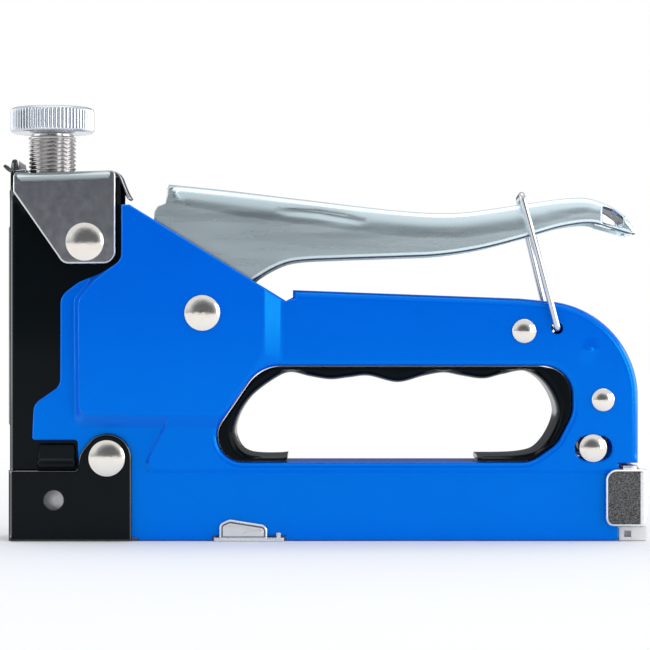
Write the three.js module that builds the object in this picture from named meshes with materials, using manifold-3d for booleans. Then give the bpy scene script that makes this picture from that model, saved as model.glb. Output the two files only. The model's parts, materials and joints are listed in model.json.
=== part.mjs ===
// Hand staple gun with a stamped steel body, built as an assembly of separate pieces.
// Millimetres, +Z up. The nose points along -X, the magazine latch is at the rear (+X),
// and the gun is symmetric about the plane Y = 0. Inside this file X is counted from the
// front face of the nose and Z from the flat bottom; the root group moves X = 0 to the
// middle of the whole length, so the origin is the bottom centre of the gun.

import * as THREE from 'three';
import { mergeVertices } from 'three/addons/utils/BufferGeometryUtils.js';
import Module from 'manifold-3d';

const wasm = await Module();
wasm.setup();

// ---------------------------------------------------------------- driving dimensions

const FIT = 0.3; // gap kept between neighbouring pieces
const SHEET = 1.0; // thickness of the pressed steel sheet
const FRONT_END = -1.5; // tip of the cap's front tongue
const REAR_END = 160; // rear face of the magazine latch

// half thicknesses of the body, from the middle plane to the outer face of the sheet
const HALF_MARGIN = 8.5; // magazine and front margin
const HALF_GRIP = 9.5; // grip behind the step
const HALF_PLATEAU = 11.5; // raised front zone around the spring
const HALF_COVER = 9.8; // front channel foot and top cap, outside the body
const HALF_CHANNEL = 7.2; // front channel where the body covers it
const HALF_CHANNEL_TOP = 8.4; // front channel where the cap covers it

// cross section of the magazine, half widths and heights
const RAIL_HALF = 4.75;
const RAIL_TOP = 13.8;
const GUIDE_HALF = 6.75;
const GUIDE_TOP = 16.7;
const THIN = 0.8; // sheet of the magazine pieces

// rivets and pins along Y, as [x, z, head radius]
const CAP_RIVET = [19.9, 74.4, 4.7];
const PIVOT = [49.2, 56.7, 4.4];
const NOSE_RIVET = [25.4, 20.6, 4.5];
const GRIP_RIVET = [129.1, 52.2, 2.95];
const REAR_RIVET = [148.7, 35.1, 2.8];
const CATCH = [146.2, 23.1, 3.4];
const BAIL_PIVOT = [137.3, 52.9];
const LATCH_PIVOT = [156.3, 6.5];
const LATCH_PIN_HALF = 10.9;

// main spring, its adjuster and the striker, all on one upright axis
const SPRING_X = 10.8;
const SCREW_RADIUS = 6.0;
const THREAD_PITCH = 1.0;
const KNOB_RADIUS = 10.5;
const KNOB_BOTTOM = 102;
const KNOB_TOP = 108.4;
const CAP_TOP = 92.2;
const SEAT_TOP = 84;
const CARRIAGE_BOTTOM = 38;
const CARRIAGE_TOP = 52;

// locking bail
const WIRE_RADIUS = 0.8;
const BAIL_HALF = 10.65; // middle of the wire
const BAIL_BAR = [128.4, 86.0];

// ---------------------------------------------------------------- materials

const paint = (color) => new THREE.MeshStandardMaterial({ color, roughness: 0.35, metalness: 0.1 });
const metal = (color, roughness) => new THREE.MeshStandardMaterial({ color, roughness, metalness: 1 });

const BLUE = () => paint(0x0069e6);
const BLACK = () => paint(0x0c1014);
const CHROME = () => metal(0xc9ccd2, 0.12);
const NICKEL = () => metal(0xd8d3c8, 0.2);
const STEEL = () => metal(0x8d9096, 0.4);
const SPRING_STEEL = () => metal(0x5c6066, 0.35);
const DARK_STEEL = () => metal(0x3a3c40, 0.5);
const PLASTIC = () => new THREE.MeshStandardMaterial({ color: 0x0b0c0e, roughness: 0.5, metalness: 0 });
const RUBBER = () => new THREE.MeshStandardMaterial({ color: 0x1c1c1e, roughness: 0.9, metalness: 0 });

// ---------------------------------------------------------------- solids

const ALONG_X = new THREE.Matrix4().makeBasis(
  new THREE.Vector3(0, 1, 0), new THREE.Vector3(0, 0, 1), new THREE.Vector3(1, 0, 0));

// closed three.js geometry -> solid that can be joined and cut
function solid(geometry) {
  const bare = geometry.clone();
  bare.deleteAttribute('normal');
  bare.deleteAttribute('uv');
  const merged = mergeVertices(bare, 1e-4);
  const index = [];
  for (let i = 0; i < merged.index.count; i += 3) {
    const [a, b, c] = [0, 1, 2].map((k) => merged.index.getX(i + k));
    if (a !== b && b !== c && c !== a) index.push(a, b, c);
  }
  const mesh = new wasm.Mesh({
    numProp: 3,
    vertProperties: Float32Array.from(merged.attributes.position.array),
    triVerts: Uint32Array.from(index),
  });
  return new wasm.Manifold(mesh);
}

function geometryOf(body) {
  const { vertProperties, triVerts } = body.getMesh();
  const geometry = new THREE.BufferGeometry();
  geometry.setAttribute('position', new THREE.BufferAttribute(vertProperties, 3));
  geometry.setIndex(new THREE.BufferAttribute(triVerts, 1));
  return geometry;
}

const join = (...bodies) => bodies.reduce((sum, body) => sum.add(body));
const cut = (body, ...tools) => tools.reduce((rest, tool) => rest.subtract(tool), body);
const mirrored = (body) => body.mirror([0, 1, 0]);
const onBothSides = (body) => body.add(mirrored(body));

const shapeOf = (points) => new THREE.Shape(points.map(([a, b]) => new THREE.Vector2(a, b)));
const flat = (depth) => ({ depth, bevelEnabled: false });

// outline in the XZ plane, from y0 to y1
function plate(points, y0, y1) {
  const geometry = new THREE.ExtrudeGeometry(shapeOf(points), flat(y1 - y0));
  return solid(geometry.rotateX(Math.PI / 2).translate(0, y1, 0));
}

// solid between one outline at y0 and another with as many points at y1
function tapered(low, high, y0, y1) {
  const lowShape = low.map((p) => new THREE.Vector2(...p));
  const highShape = high.map((p) => new THREE.Vector2(...p));
  if (THREE.ShapeUtils.isClockWise(lowShape)) {
    lowShape.reverse();
    highShape.reverse();
  }
  const count = lowShape.length;
  const index = THREE.ShapeUtils.triangulateShape(lowShape, []).flat();
  THREE.ShapeUtils.triangulateShape(highShape, []).forEach(([a, b, c]) => {
    index.push(c + count, b + count, a + count);
  });
  for (let i = 0; i < count; i += 1) {
    const next = (i + 1) % count;
    index.push(next, i, i + count, next, i + count, next + count);
  }
  const position = [...lowShape.map((p) => [p.x, y0, p.y]), ...highShape.map((p) => [p.x, y1, p.y])];
  const geometry = new THREE.BufferGeometry();
  geometry.setAttribute('position', new THREE.Float32BufferAttribute(position.flat(), 3));
  return solid(geometry.setIndex(index));
}

// outline in the YZ plane, from x0 to x1
function beam(points, x0, x1) {
  const geometry = new THREE.ExtrudeGeometry(shapeOf(points), flat(x1 - x0));
  return solid(geometry.applyMatrix4(ALONG_X).translate(x0, 0, 0));
}

function block([x0, x1], [y0, y1], [z0, z1]) {
  const geometry = new THREE.BoxGeometry(x1 - x0, y1 - y0, z1 - z0);
  return solid(geometry.translate((x0 + x1) / 2, (y0 + y1) / 2, (z0 + z1) / 2));
}

// round bar along Y
function pin([x, z], radius, y0, y1, sides = 24) {
  const geometry = new THREE.CylinderGeometry(radius, radius, y1 - y0, sides);
  return solid(geometry.translate(x, (y0 + y1) / 2, z));
}

// round bar along Z
function post([x, y], radius, z0, z1, sides = 32) {
  const geometry = new THREE.CylinderGeometry(radius, radius, z1 - z0, sides);
  return solid(geometry.rotateX(Math.PI / 2).translate(x, y, (z0 + z1) / 2));
}

// [radius, distance] profile turned about an axis along Y through (x, z)
function turnedOnY(profile, [x, z], sides) {
  const points = profile.map(([r, y]) => new THREE.Vector2(r, y));
  return solid(new THREE.LatheGeometry(points, sides).translate(x, 0, z));
}

// [radius, height] profile turned about an upright axis at x
function turnedOnZ(profile, x, sides) {
  const points = profile.map(([r, z]) => new THREE.Vector2(r, z));
  return solid(new THREE.LatheGeometry(points, sides).rotateX(Math.PI / 2).translate(x, 0, 0));
}

// ring with a bore, along Y
function tube(centre, outer, bore, half) {
  return turnedOnY([[bore, -half], [outer, -half], [outer, half], [bore, half], [bore, -half]], centre, 18);
}

// round wire through a list of [x, y, z] points
function wire(points, radius, sides = 8) {
  const corners = points.map((p) => new THREE.Vector3(...p));
  const bodies = corners.slice(1, -1).map((p) => {
    return solid(new THREE.SphereGeometry(radius, sides, sides / 2).translate(p.x, p.y, p.z));
  });
  for (let i = 1; i < corners.length; i += 1) {
    const along = new THREE.LineCurve3(corners[i - 1], corners[i]);
    const ring = new THREE.Shape(new THREE.EllipseCurve(0, 0, radius, radius).getPoints(sides).slice(0, -1));
    bodies.push(solid(new THREE.ExtrudeGeometry(ring, { steps: 1, extrudePath: along })));
  }
  return join(...bodies);
}

class Helix extends THREE.Curve {
  constructor(radius, length, turns) {
    super();
    Object.assign(this, { radius, length, turns });
  }

  getPoint(t, target = new THREE.Vector3()) {
    const angle = 2 * Math.PI * this.turns * t;
    return target.set(this.radius * Math.cos(angle), this.radius * Math.sin(angle), this.length * t);
  }
}

// coil of round wire that rises from z = 0 to its length
function coil({ radius, length, turns, wireRadius, sides, stepsPerTurn }) {
  const ring = new THREE.Shape(
    new THREE.EllipseCurve(0, 0, wireRadius, wireRadius).getPoints(sides).slice(0, -1));
  const extrudePath = new Helix(radius, length, turns);
  return solid(new THREE.ExtrudeGeometry(ring, { steps: turns * stepsPerTurn, extrudePath }));
}

// ---------------------------------------------------------------- outlines

const ARC_STEP = Math.PI / 10;

// corners are [a, b] or [a, b, radius]; a radius rounds the corner with an arc,
// in the given number of steps or as many as the arc needs
function rounded(corners, stepsPerArc) {
  const points = [];
  corners.forEach(([a, b, radius = 0], i) => {
    if (radius === 0) {
      points.push([a, b]);
      return;
    }
    const corner = new THREE.Vector2(a, b);
    const toward = (other) => new THREE.Vector2(other[0], other[1]).sub(corner).normalize();
    const back = toward(corners[(i + corners.length - 1) % corners.length]);
    const ahead = toward(corners[(i + 1) % corners.length]);
    const half = Math.acos(THREE.MathUtils.clamp(back.dot(ahead), -1, 1)) / 2;
    const middle = back.clone().add(ahead).normalize().multiplyScalar(radius / Math.sin(half)).add(corner);
    const start = back.multiplyScalar(radius / Math.tan(half)).add(corner).sub(middle);
    const end = ahead.multiplyScalar(radius / Math.tan(half)).add(corner).sub(middle);
    const turn = Math.atan2(start.cross(end), start.dot(end));
    const steps = stepsPerArc ?? Math.max(2, Math.ceil(Math.abs(turn) / ARC_STEP));
    for (let k = 0; k <= steps; k += 1) {
      const p = start.clone().rotateAround(new THREE.Vector2(), (turn * k) / steps).add(middle);
      points.push([p.x, p.y]);
    }
  });
  return points;
}

function arc(x, z, radius, from, to, steps) {
  return Array.from({ length: steps + 1 }, (_, k) => {
    const angle = THREE.MathUtils.degToRad(from + ((to - from) * k) / steps);
    return [x + radius * Math.cos(angle), z + radius * Math.sin(angle)];
  });
}

const smooth = (points, count) => new THREE.SplineCurve(points.map((p) => new THREE.Vector2(...p)))
  .getPoints(count).map((p) => [p.x, p.y]);

// moves a line sideways, to its left as it is walked for a positive distance
function beside(points, distance) {
  return points.map(([a, b], i) => {
    const [pa, pb] = points[Math.max(i - 1, 0)];
    const [na, nb] = points[Math.min(i + 1, points.length - 1)];
    const size = Math.hypot(na - pa, nb - pb);
    return [a - (distance * (nb - pb)) / size, b + (distance * (na - pa)) / size];
  });
}

// strip between a line and the same line moved sideways
const strip = (points, distance) => [...points, ...beside(points, distance).reverse()];

// grip top and rear edge of the body, walked from the rear bottom to the step notch
const GRIP_EDGE = [
  [157.6, 19.4], [157.6, 33], ...arc(133.5, 35.6, 24.1, 4, 86, 9), [128.1, 60.3], [71.6, 62.4],
];

const BODY_EDGE = [
  ...rounded([
    [29, 83.6], [29, 69.6, 3.5], [24.3, 66.8, 8], [18.3, 64.5, 6], [13.7, 61, 4], [13.6, 38.6, 3],
    [7, 34, 3.5], [6.6, 20], [6.6, 0.6], [33, 0.6], [33, 0], [152.7, 0], [152.7, 19.4, 0.6],
  ]),
  ...GRIP_EDGE, [71.6, 60.6], [69.9, 59.7], [31.1, 83.6],
];

// walked so that its outside is on the right
const FINGER_OPENING = rounded([
  [63.3, 43.5, 10], [46.9, 19.6, 6.5], [130.8, 19.6, 7], [137.4, 24.2, 7], [141.2, 31.6, 7],
  [141.2, 43.5, 7.3],
]);

// ---------------------------------------------------------------- body shells

// solid of the body on the +Y side; inset lowers every face, for the hollow inside the sheet
function pressing(inset) {
  const everywhere = [[-20, -20], [200, -20], [200, 140], [-20, 140]];
  const outline = inset ? everywhere : BODY_EDGE;
  const from = inset ? -1 : FIT / 2;
  const top = HALF_PLATEAU - inset;
  const margin = HALF_MARGIN - inset;
  const gripLow = [[33.2, 17.2, 2], [190, 17.2, 2], [190, 120, 2], [64, 120, 2], [40, 30, 2]];
  const gripHigh = [[34.4, 18.2, 2], [189, 18.2, 2], [189, 119, 2], [64.8, 119, 2], [41, 30, 2]];
  const plateauLow = [
    [17, 27.6, 2], [17, 60.3, 3], [21.3, 65.6, 3], [27.8, 71, 2], [27.8, 99, 2], [69.4, 99, 2],
    [69.4, 44.4, 3], [58, 27.6, 3],
  ];
  const plateauHigh = [
    [18.7, 32, 2], [18.7, 59.8, 3], [22.4, 64.4, 3], [29.5, 70, 2], [29.5, 98, 2], [63.9, 98, 2],
    [63.9, 46.2, 3], [54.2, 32, 3],
  ];
  const pieces = [
    plate(outline, from, margin),
    tapered(rounded(gripLow, 3), rounded(gripHigh, 3), margin - 0.5, HALF_GRIP - inset),
    tapered(rounded(plateauLow, 3), rounded(plateauHigh, 3), margin, top),
  ];
  return join(...pieces).intersect(plate(outline, from, top));
}

function halfShell() {
  const outer = pressing(0);
  const sheet = cut(outer, pressing(SHEET));
  const gripRim = plate(strip(GRIP_EDGE, SHEET), FIT / 2, HALF_GRIP);
  const frontEdge = BODY_EDGE.slice(0, 3);
  const openingRing = [...FINGER_OPENING, FINGER_OPENING[0]];
  const openingRim = cut(
    plate(beside(openingRing, -SHEET).slice(0, -1), FIT / 2, HALF_PLATEAU),
    plate(FINGER_OPENING, -1, 12)).intersect(outer);
  const holes = [
    plate(FINGER_OPENING, -1, 12),
    pin(PIVOT, 2.8, -1, 12),
    pin(NOSE_RIVET, 2.8, -1, 12),
    pin(GRIP_RIVET, 2.2, -1, 12),
    pin(REAR_RIVET, 2.2, -1, 12),
    pin(BAIL_PIVOT, 1.3, -1, 12, 16),
    pin([12.2, 10.2], 2.6, -1, 12),
    plate(rounded([[141.8, 20.1, 2.9], [151, 20.1, 2.9], [151, 26.1, 2.9], [141.8, 26.1, 2.9]]), -1, 12),
    block([7.4, 18.2], [-1, 12], [17.9, 24.9]),
    block([51.6, 69.8], [-1, 12], [-1, 1.1]),
  ];
  const edge = plate(strip(frontEdge, SHEET), HALF_CHANNEL_TOP + FIT, HALF_PLATEAU).intersect(outer);
  return cut(join(sheet, gripRim, openingRim, edge), ...holes);
}

// ---------------------------------------------------------------- nose, cap and adjuster

function frontChannel() {
  const footPlate = [
    [0.8, 0], [31.5, 0], [31.5, 20.6], ...arc(NOSE_RIVET[0], NOSE_RIVET[1], 6.1, 0, 150, 10),
    [18.2, 17.5], [0.8, 17.5],
  ];
  const foot = plate(footPlate, HALF_COVER - SHEET, HALF_COVER);
  const flange = plate(rounded([
    [0.8, 0], [3.2, 0], [3.2, 17.2], [18.8, 17.2], [20, 25, 2], [20, 60, 4], [28.6, 66],
    [28.6, 75], [0.8, 75],
  ]), HALF_CHANNEL - SHEET, HALF_CHANNEL);
  const upper = plate(rounded([
    [0.8, 73.6], [28.6, 73.6], [28.6, 90.6, 1], [3.2, 90.6, 1], [0.8, 87],
  ]), HALF_CHANNEL - 0.1, HALF_CHANNEL_TOP);
  const louver = beam([
    [HALF_CHANNEL - 0.6, 24.4], [HALF_CHANNEL - 0.6, 18.1], [10.2, 18.1], [10.5, 18.8], [10.4, 20], [9, 24.4],
  ], 7.8, 17.9);
  const tab = post([0, 0], 5, 0, 1, 32).rotate([0, 90, 0]).translate([0.8, 0, 90.5]);
  const frontWall = join(
    block([0.8, 1.8], [-HALF_COVER, HALF_COVER], [0, 26]),
    block([0.8, 1.8], [-HALF_CHANNEL, HALF_CHANNEL], [25, 75]),
    block([0.8, 1.8], [-HALF_CHANNEL_TOP, HALF_CHANNEL_TOP], [73.6, 87]),
    block([0.8, 1.8], [-5, 5], [86, 90.5]),
    tab,
    beam(rounded([[-2.6, 28, 2.5], [2.6, 28, 2.5], [2.6, 79, 2.5], [-2.6, 79, 2.5]]), 0, 1.2),
    beam(rounded([[-3.4, 6.6, 1.2], [3.4, 6.6, 1.2], [3.4, 10.2, 1.2], [-3.4, 10.2, 1.2]]), 0.2, 1.2));
  const tongueSlot = block([0, 3], [-3.4, 3.4], [90.2, 93.9]);
  const hole = pin([12.2, 10.2], 2.4, -12, 12);
  const rivetHoles = [pin(CAP_RIVET, 2.8, -12, 12), pin(NOSE_RIVET, 2.8, -12, 12)];
  const sheet = join(frontWall, onBothSides(join(foot, flange, upper, louver)));
  return cut(sheet, hole, tongueSlot, ...rivetHoles);
}

function topCap() {
  const side = rounded([
    [2.1, CAP_TOP], [2.1, 86.8, 1], [14.5, 68.9, 2.5], [27.5, 68.9, 2.8], [27.5, CAP_TOP, 1.5],
  ]);
  const section = rounded([
    [-HALF_COVER, 60], [HALF_COVER, 60], [HALF_COVER, CAP_TOP, 2.2], [-HALF_COVER, CAP_TOP, 2.2],
  ]);
  const body = plate(side, -HALF_COVER, HALF_COVER).intersect(beam(section, 0, 30));
  const inner = HALF_COVER - SHEET;
  const hollow = beam(rounded([
    [-inner, 60], [inner, 60], [inner, CAP_TOP - SHEET, 1.2], [-inner, CAP_TOP - SHEET, 1.2],
  ]), -1, 31);
  const frontTongue = plate([
    [3.5, 91.2], [1.6, 91], [-1.5, 92.9], [-1.1, 93.6], [1.8, 92.1], [3.5, CAP_TOP],
  ], -3, 3);
  const rearTongue = plate([
    [26, 91.3], [27.3, 91.1], [30, 85.1], [31, 85.5], [28.1, 92], [26, CAP_TOP],
  ], -4.5, 4.5);
  const fork = block([29, 32], [-1.6, 1.6], [84, 88]);
  const screwHole = post([SPRING_X, 0], SCREW_RADIUS + FIT, 85, 95);
  return join(cut(body, hollow, screwHole, pin(CAP_RIVET, 2.8, -12, 12)), frontTongue, cut(rearTongue, fork));
}

function tensionNut() {
  return cut(block([4, 18], [-6.8, 6.8], [86.6, 90.9]), post([SPRING_X, 0], SCREW_RADIUS + 0.2, 80, 95));
}

// the thread is drawn as one groove for each turn above the cap
function tensionScrew() {
  const tip = SEAT_TOP + FIT;
  const neck = KNOB_BOTTOM - 1;
  const profile = [[0, tip], [SCREW_RADIUS - 0.8, tip], [SCREW_RADIUS, tip + 0.8]];
  for (let z = CAP_TOP - 0.5; z < neck - THREAD_PITCH; z += THREAD_PITCH) {
    profile.push([SCREW_RADIUS, z], [SCREW_RADIUS - 0.6, z + THREAD_PITCH / 2]);
  }
  profile.push([SCREW_RADIUS - 0.8, neck], [SCREW_RADIUS - 0.8, KNOB_BOTTOM - FIT], [0, KNOB_BOTTOM - FIT]);
  return turnedOnZ(profile, SPRING_X, 24);
}

function tensionKnob() {
  const chamfer = 0.7;
  return turnedOnZ([
    [0, KNOB_BOTTOM], [KNOB_RADIUS - chamfer, KNOB_BOTTOM], [KNOB_RADIUS, KNOB_BOTTOM + chamfer],
    [KNOB_RADIUS, KNOB_TOP - chamfer], [KNOB_RADIUS - chamfer, KNOB_TOP], [0, KNOB_TOP],
  ], SPRING_X, 48);
}

function springSeat() {
  return turnedOnZ([
    [0, SEAT_TOP - 2.4], [3.4, SEAT_TOP - 5], [3.6, SEAT_TOP - 2.4], [5.8, SEAT_TOP - 2.4],
    [5.8, SEAT_TOP], [0, SEAT_TOP],
  ], SPRING_X, 24);
}

function mainSpring() {
  const wireRadius = 1.1;
  const bottom = CARRIAGE_TOP + FIT + wireRadius;
  const length = SEAT_TOP - 2.4 - FIT - wireRadius - bottom;
  return coil({ radius: 4.7, length, turns: 8, wireRadius, sides: 6, stepsPerTurn: 11 })
    .translate([SPRING_X, 0, bottom]);
}

// ---------------------------------------------------------------- striker

function strikerCarriage() {
  const body = block([3.6, 17.8], [-5.6, 5.6], [CARRIAGE_BOTTOM, CARRIAGE_TOP]);
  const window = block([8.6, 20], [-3.2, 3.2], [41.8, 49.4]);
  return cut(body, window);
}

const driverBlade = () => block([2.1, 3.3], [-5.5, 5.5], [16.3, CARRIAGE_TOP - 1]);

const strikerBumper = () => block([6, 17.4], [-5.2, 5.2], [GUIDE_TOP + FIT, 21.6]);

// ---------------------------------------------------------------- handle

const HANDLE_HALF = 9.0;
const HANDLE_TOP = smooth([
  [40.6, 88.8], [56, 87.2], [73.4, 85.1], [98.2, 82.2], [113, 81.7], [128.1, 83.7], [138, 85.1],
  [144.2, 85.4], [148, 84.5], [151.5, 82.9], [154.6, 80.5], [156.4, 77.9], [157, 76.4],
], 40);
const HANDLE_BOTTOM = smooth([
  [155.6, 76.2], [150, 77.9], [145.5, 79], [138, 78], [128.1, 75.1], [118.1, 72.6], [108.2, 71.1],
  [98.2, 70.6], [83.3, 70.1], [73.4, 69.6], [68.4, 68.4], [63, 65.4], [59.5, 62],
], 30);

function handleLever() {
  const cheekEdge = [
    ...HANDLE_BOTTOM, ...arc(PIVOT[0], PIVOT[1], 8, 20, -190, 14),
    [37, 79], [37.4, 81.9], [39.8, 84], [40.2, 86.8], ...HANDLE_TOP,
  ];
  const cheek = plate(cheekEdge, HANDLE_HALF - SHEET, HANDLE_HALF);
  const web = plate(strip(HANDLE_TOP, -SHEET), -HANDLE_HALF, HANDLE_HALF);
  const hangingHole = plate(rounded([
    [148.6, 78.9, 0.6], [153.4, 78.1, 1], [153.4, 80.6, 1.5], [150.5, 82.2, 1], [148.6, 83, 0.5],
  ]), -12, 12);
  const bearing = pin(PIVOT, 4.3, -12, 12);
  return cut(join(web, onBothSides(cheek)), hangingHole, bearing);
}

function liftLever() {
  const outline = [
    ...arc(PIVOT[0], PIVOT[1], 8, 100, -80, 10), [38, 46.5], [26, 43.6], [14, 43.6],
    ...arc(12.8, 45.4, 1.8, 270, 90, 6), [24, 47.6], [36, 56], [44, 64],
  ];
  return cut(plate(outline, -2.4, 2.4), pin(PIVOT, 4.3, -12, 12));
}

// torsion spring beside the lifting lever, one leg under the handle's top web
function handleSpring() {
  const wireRadius = 0.8;
  const radius = 5.3;
  const turns = 2;
  const [y0, y1] = [3.3, 6.7];
  const path = [[PIVOT[0] + radius - 0.5, y0, 45.5], [PIVOT[0] + radius, y0, 51]];
  for (let k = 0; k <= turns * 12; k += 1) {
    const angle = (k * Math.PI) / 6;
    const y = y0 + ((y1 - y0) * k) / (turns * 12);
    path.push([PIVOT[0] + radius * Math.cos(angle), y, PIVOT[1] + radius * Math.sin(angle)]);
  }
  path.push([55.6, y1, 64], [58.6, y1, 74], [62, y1, 84]);
  const extrudePath = new THREE.CatmullRomCurve3(path.map((p) => new THREE.Vector3(...p)));
  const ring = new THREE.Shape(
    new THREE.EllipseCurve(0, 0, wireRadius, wireRadius).getPoints(6).slice(0, -1));
  return solid(new THREE.ExtrudeGeometry(ring, { steps: 60, extrudePath }));
}

function lockBail() {
  const lean = new THREE.Vector2(BAIL_BAR[0] - BAIL_PIVOT[0], BAIL_BAR[1] - BAIL_PIVOT[1]).normalize();
  const along = (from, distance) => [from[0] + lean.x * distance, from[1] + lean.y * distance];
  const bend = 1.2;
  const foot = along(BAIL_PIVOT, bend);
  const shoulder = along(BAIL_BAR, -bend);
  const side = (sign) => [
    [BAIL_PIVOT[0], sign * (HALF_GRIP - SHEET - 0.4), BAIL_PIVOT[1]],
    [BAIL_PIVOT[0], sign * (BAIL_HALF - bend / 2), BAIL_PIVOT[1]],
    [foot[0], sign * BAIL_HALF, foot[1]],
    [shoulder[0], sign * BAIL_HALF, shoulder[1]],
    [BAIL_BAR[0], sign * (BAIL_HALF - bend), BAIL_BAR[1]],
  ];
  return wire([...side(-1), ...side(1).reverse()], WIRE_RADIUS);
}

// ---------------------------------------------------------------- grip liner

// black plastic band inside the finger opening, open along the middle of the bottom
function gripLiner() {
  const fitting = beside([...FINGER_OPENING, FINGER_OPENING[0]], FIT).slice(0, -1);
  const fingerSide = smooth([
    [74, 21.5], [61.2, 21.6], [57.4, 25.7], [58, 30.7], [61.4, 36], [67.2, 40.4], [71, 41.9],
    [75.7, 40.9], [80.9, 40.1], [85.7, 40.6], [90.5, 41], [97.7, 39.4], [104.3, 41], [109.3, 41.8],
    [113.9, 41], [119.2, 40.3], [124, 41.4], [129.8, 42.2], [134.8, 38.6], [137.4, 31.7],
    [133.9, 24.2], [128.3, 21.7], [114, 21.4],
  ], 80);
  const inside = [[74, 15], ...fingerSide, [114, 15]];
  const half = HALF_GRIP - FIT;
  const body = cut(plate(fitting, -half, half), plate(inside, -12, 12));
  return cut(body, block([70.7, 117], [-12, 12], [10, 25]));
}

// ---------------------------------------------------------------- rivets and spacers

// two domed heads on one shank; face is the half thickness under the heads
function rivet([x, z, headRadius], shank, face, headHeight = 1.0) {
  const half = face + FIT;
  const rim = headHeight * 0.45;
  const profile = [
    [0, -half - headHeight], [headRadius * 0.55, -half - headHeight * 0.92],
    [headRadius * 0.88, -half - headHeight * 0.7], [headRadius, -half - rim], [headRadius, -half],
    [shank, -half], [shank, half], [headRadius, half], [headRadius, half + rim],
    [headRadius * 0.88, half + headHeight * 0.7], [headRadius * 0.55, half + headHeight * 0.92],
    [0, half + headHeight],
  ];
  return turnedOnY(profile, [x, z], 22);
}

function catchSpring() {
  const wireRadius = 0.5;
  const radius = 3.9;
  const winding = coil({ radius, length: 3, turns: 2.5, wireRadius, sides: 6, stepsPerTurn: 12 })
    .rotate([-90, 0, 0]).translate([REAR_RIVET[0], -1.5, REAR_RIVET[1]]);
  const leg = wire([
    [REAR_RIVET[0] + radius, -1.5, REAR_RIVET[1]], [REAR_RIVET[0] + radius, -1.2, 31], [149.1, -1, 21.2],
  ], wireRadius, 6);
  return join(winding, leg);
}

// ---------------------------------------------------------------- magazine

// fixed guide around the staples; two tabs fold round the bottom edge of the body
function stapleChannel() {
  const section = [
    [-GUIDE_HALF, 0], [-GUIDE_HALF + THIN, 0], [-GUIDE_HALF + THIN, GUIDE_TOP - THIN],
    [GUIDE_HALF - THIN, GUIDE_TOP - THIN], [GUIDE_HALF - THIN, 0], [GUIDE_HALF, 0],
    [GUIDE_HALF, GUIDE_TOP], [-GUIDE_HALF, GUIDE_TOP],
  ];
  const foldedTab = join(
    block([52, 69.4], [GUIDE_HALF - 0.2, 9.7], [0, THIN]),
    plate(rounded([[53.3, 0.2], [65.3, 0.2], [65.3, 4.1, 1.6], [53.3, 5.3, 2]]), 8.8, 9.7),
    block([67.5, 68.6], [8.8, 9.7], [0.2, 2.1]));
  return join(beam(section, 3.6, 147.8), onBothSides(foldedTab));
}

function magazineRail() {
  const section = [
    [-RAIL_HALF, 0], [RAIL_HALF, 0], [RAIL_HALF, RAIL_TOP], [RAIL_HALF - THIN, RAIL_TOP],
    [RAIL_HALF - THIN, THIN], [-RAIL_HALF + THIN, THIN], [-RAIL_HALF + THIN, RAIL_TOP],
    [-RAIL_HALF, RAIL_TOP],
  ];
  const endHalf = 7.1;
  const end = cut(
    block([153, 159.8], [-endHalf, endHalf], [0, 3.3]),
    block([152, 158.9], [-endHalf + THIN, endHalf - THIN], [THIN, 4]),
    block([154.2, 156], [-12, 12], [THIN, 2.4]));
  const slope = plate([[3, 4], [6.4, 14.5], [3, 14.5]], -12, 12);
  return cut(join(beam(section, 4.2, 158.9), end), slope, pin(LATCH_PIVOT, 1.5, -12, 12));
}

const ROD_Z = 7;
const ROD_RADIUS = 1.2;
const PUSHER_FRONT = 4.6;

function pusherRod() {
  const geometry = new THREE.CylinderGeometry(ROD_RADIUS, ROD_RADIUS, 144, 12);
  return solid(geometry.rotateZ(Math.PI / 2).translate(8 + 144 / 2, 0, ROD_Z));
}

function staplePusher() {
  const section = [
    [-5.6, 3], [-5.05, 3], [-5.05, 14.1], [5.05, 14.1], [5.05, 3], [5.6, 3], [5.6, 15.1], [-5.6, 15.1],
  ];
  const body = beam(section, PUSHER_FRONT, 22);
  const tongue = cut(
    block([18, 19.6], [-3.6, 3.6], [3.4, 14.4]),
    solid(new THREE.CylinderGeometry(1.6, 1.6, 10, 16).rotateZ(Math.PI / 2).translate(19, 0, ROD_Z)));
  return join(body, tongue);
}

function pusherSpring() {
  const wireRadius = 0.35;
  const start = 19.6 + FIT + wireRadius;
  const length = 150 - start;
  return coil({ radius: 2.4, length, turns: 16, wireRadius, sides: 4, stepsPerTurn: 8 })
    .rotate([0, 90, 0]).translate([start, 0, ROD_Z]);
}

function magazineLatch() {
  const inner = HALF_GRIP + FIT;
  const outer = inner + THIN;
  const cheek = plate(rounded([
    [149.3, 3.7, 2], [159.2, 3.7, 1], [160, 6], [160, 17.9, 1], [149.3, 17.9, 3],
  ]), inner, outer);
  const back = block([159.1, 160], [-outer, outer], [6.6, 16.8]);
  const lip = block([153.6, 157], [-outer, outer], [17, 18.8]);
  const lipHollow = block([151, 158], [-inner, inner], [16, 17.9]);
  return cut(join(onBothSides(cheek), back, cut(lip, lipHollow)), pin(LATCH_PIVOT, 1.5, -12, 12));
}

// ---------------------------------------------------------------- assembly

const gun = new THREE.Group();
const frame = new THREE.Group();
frame.position.x = -(FRONT_END + REAR_END) / 2;
gun.add(frame);

function place(name, body, material) {
  const mesh = new THREE.Mesh(geometryOf(body), material);
  mesh.name = name;
  frame.add(mesh);
}

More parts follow.
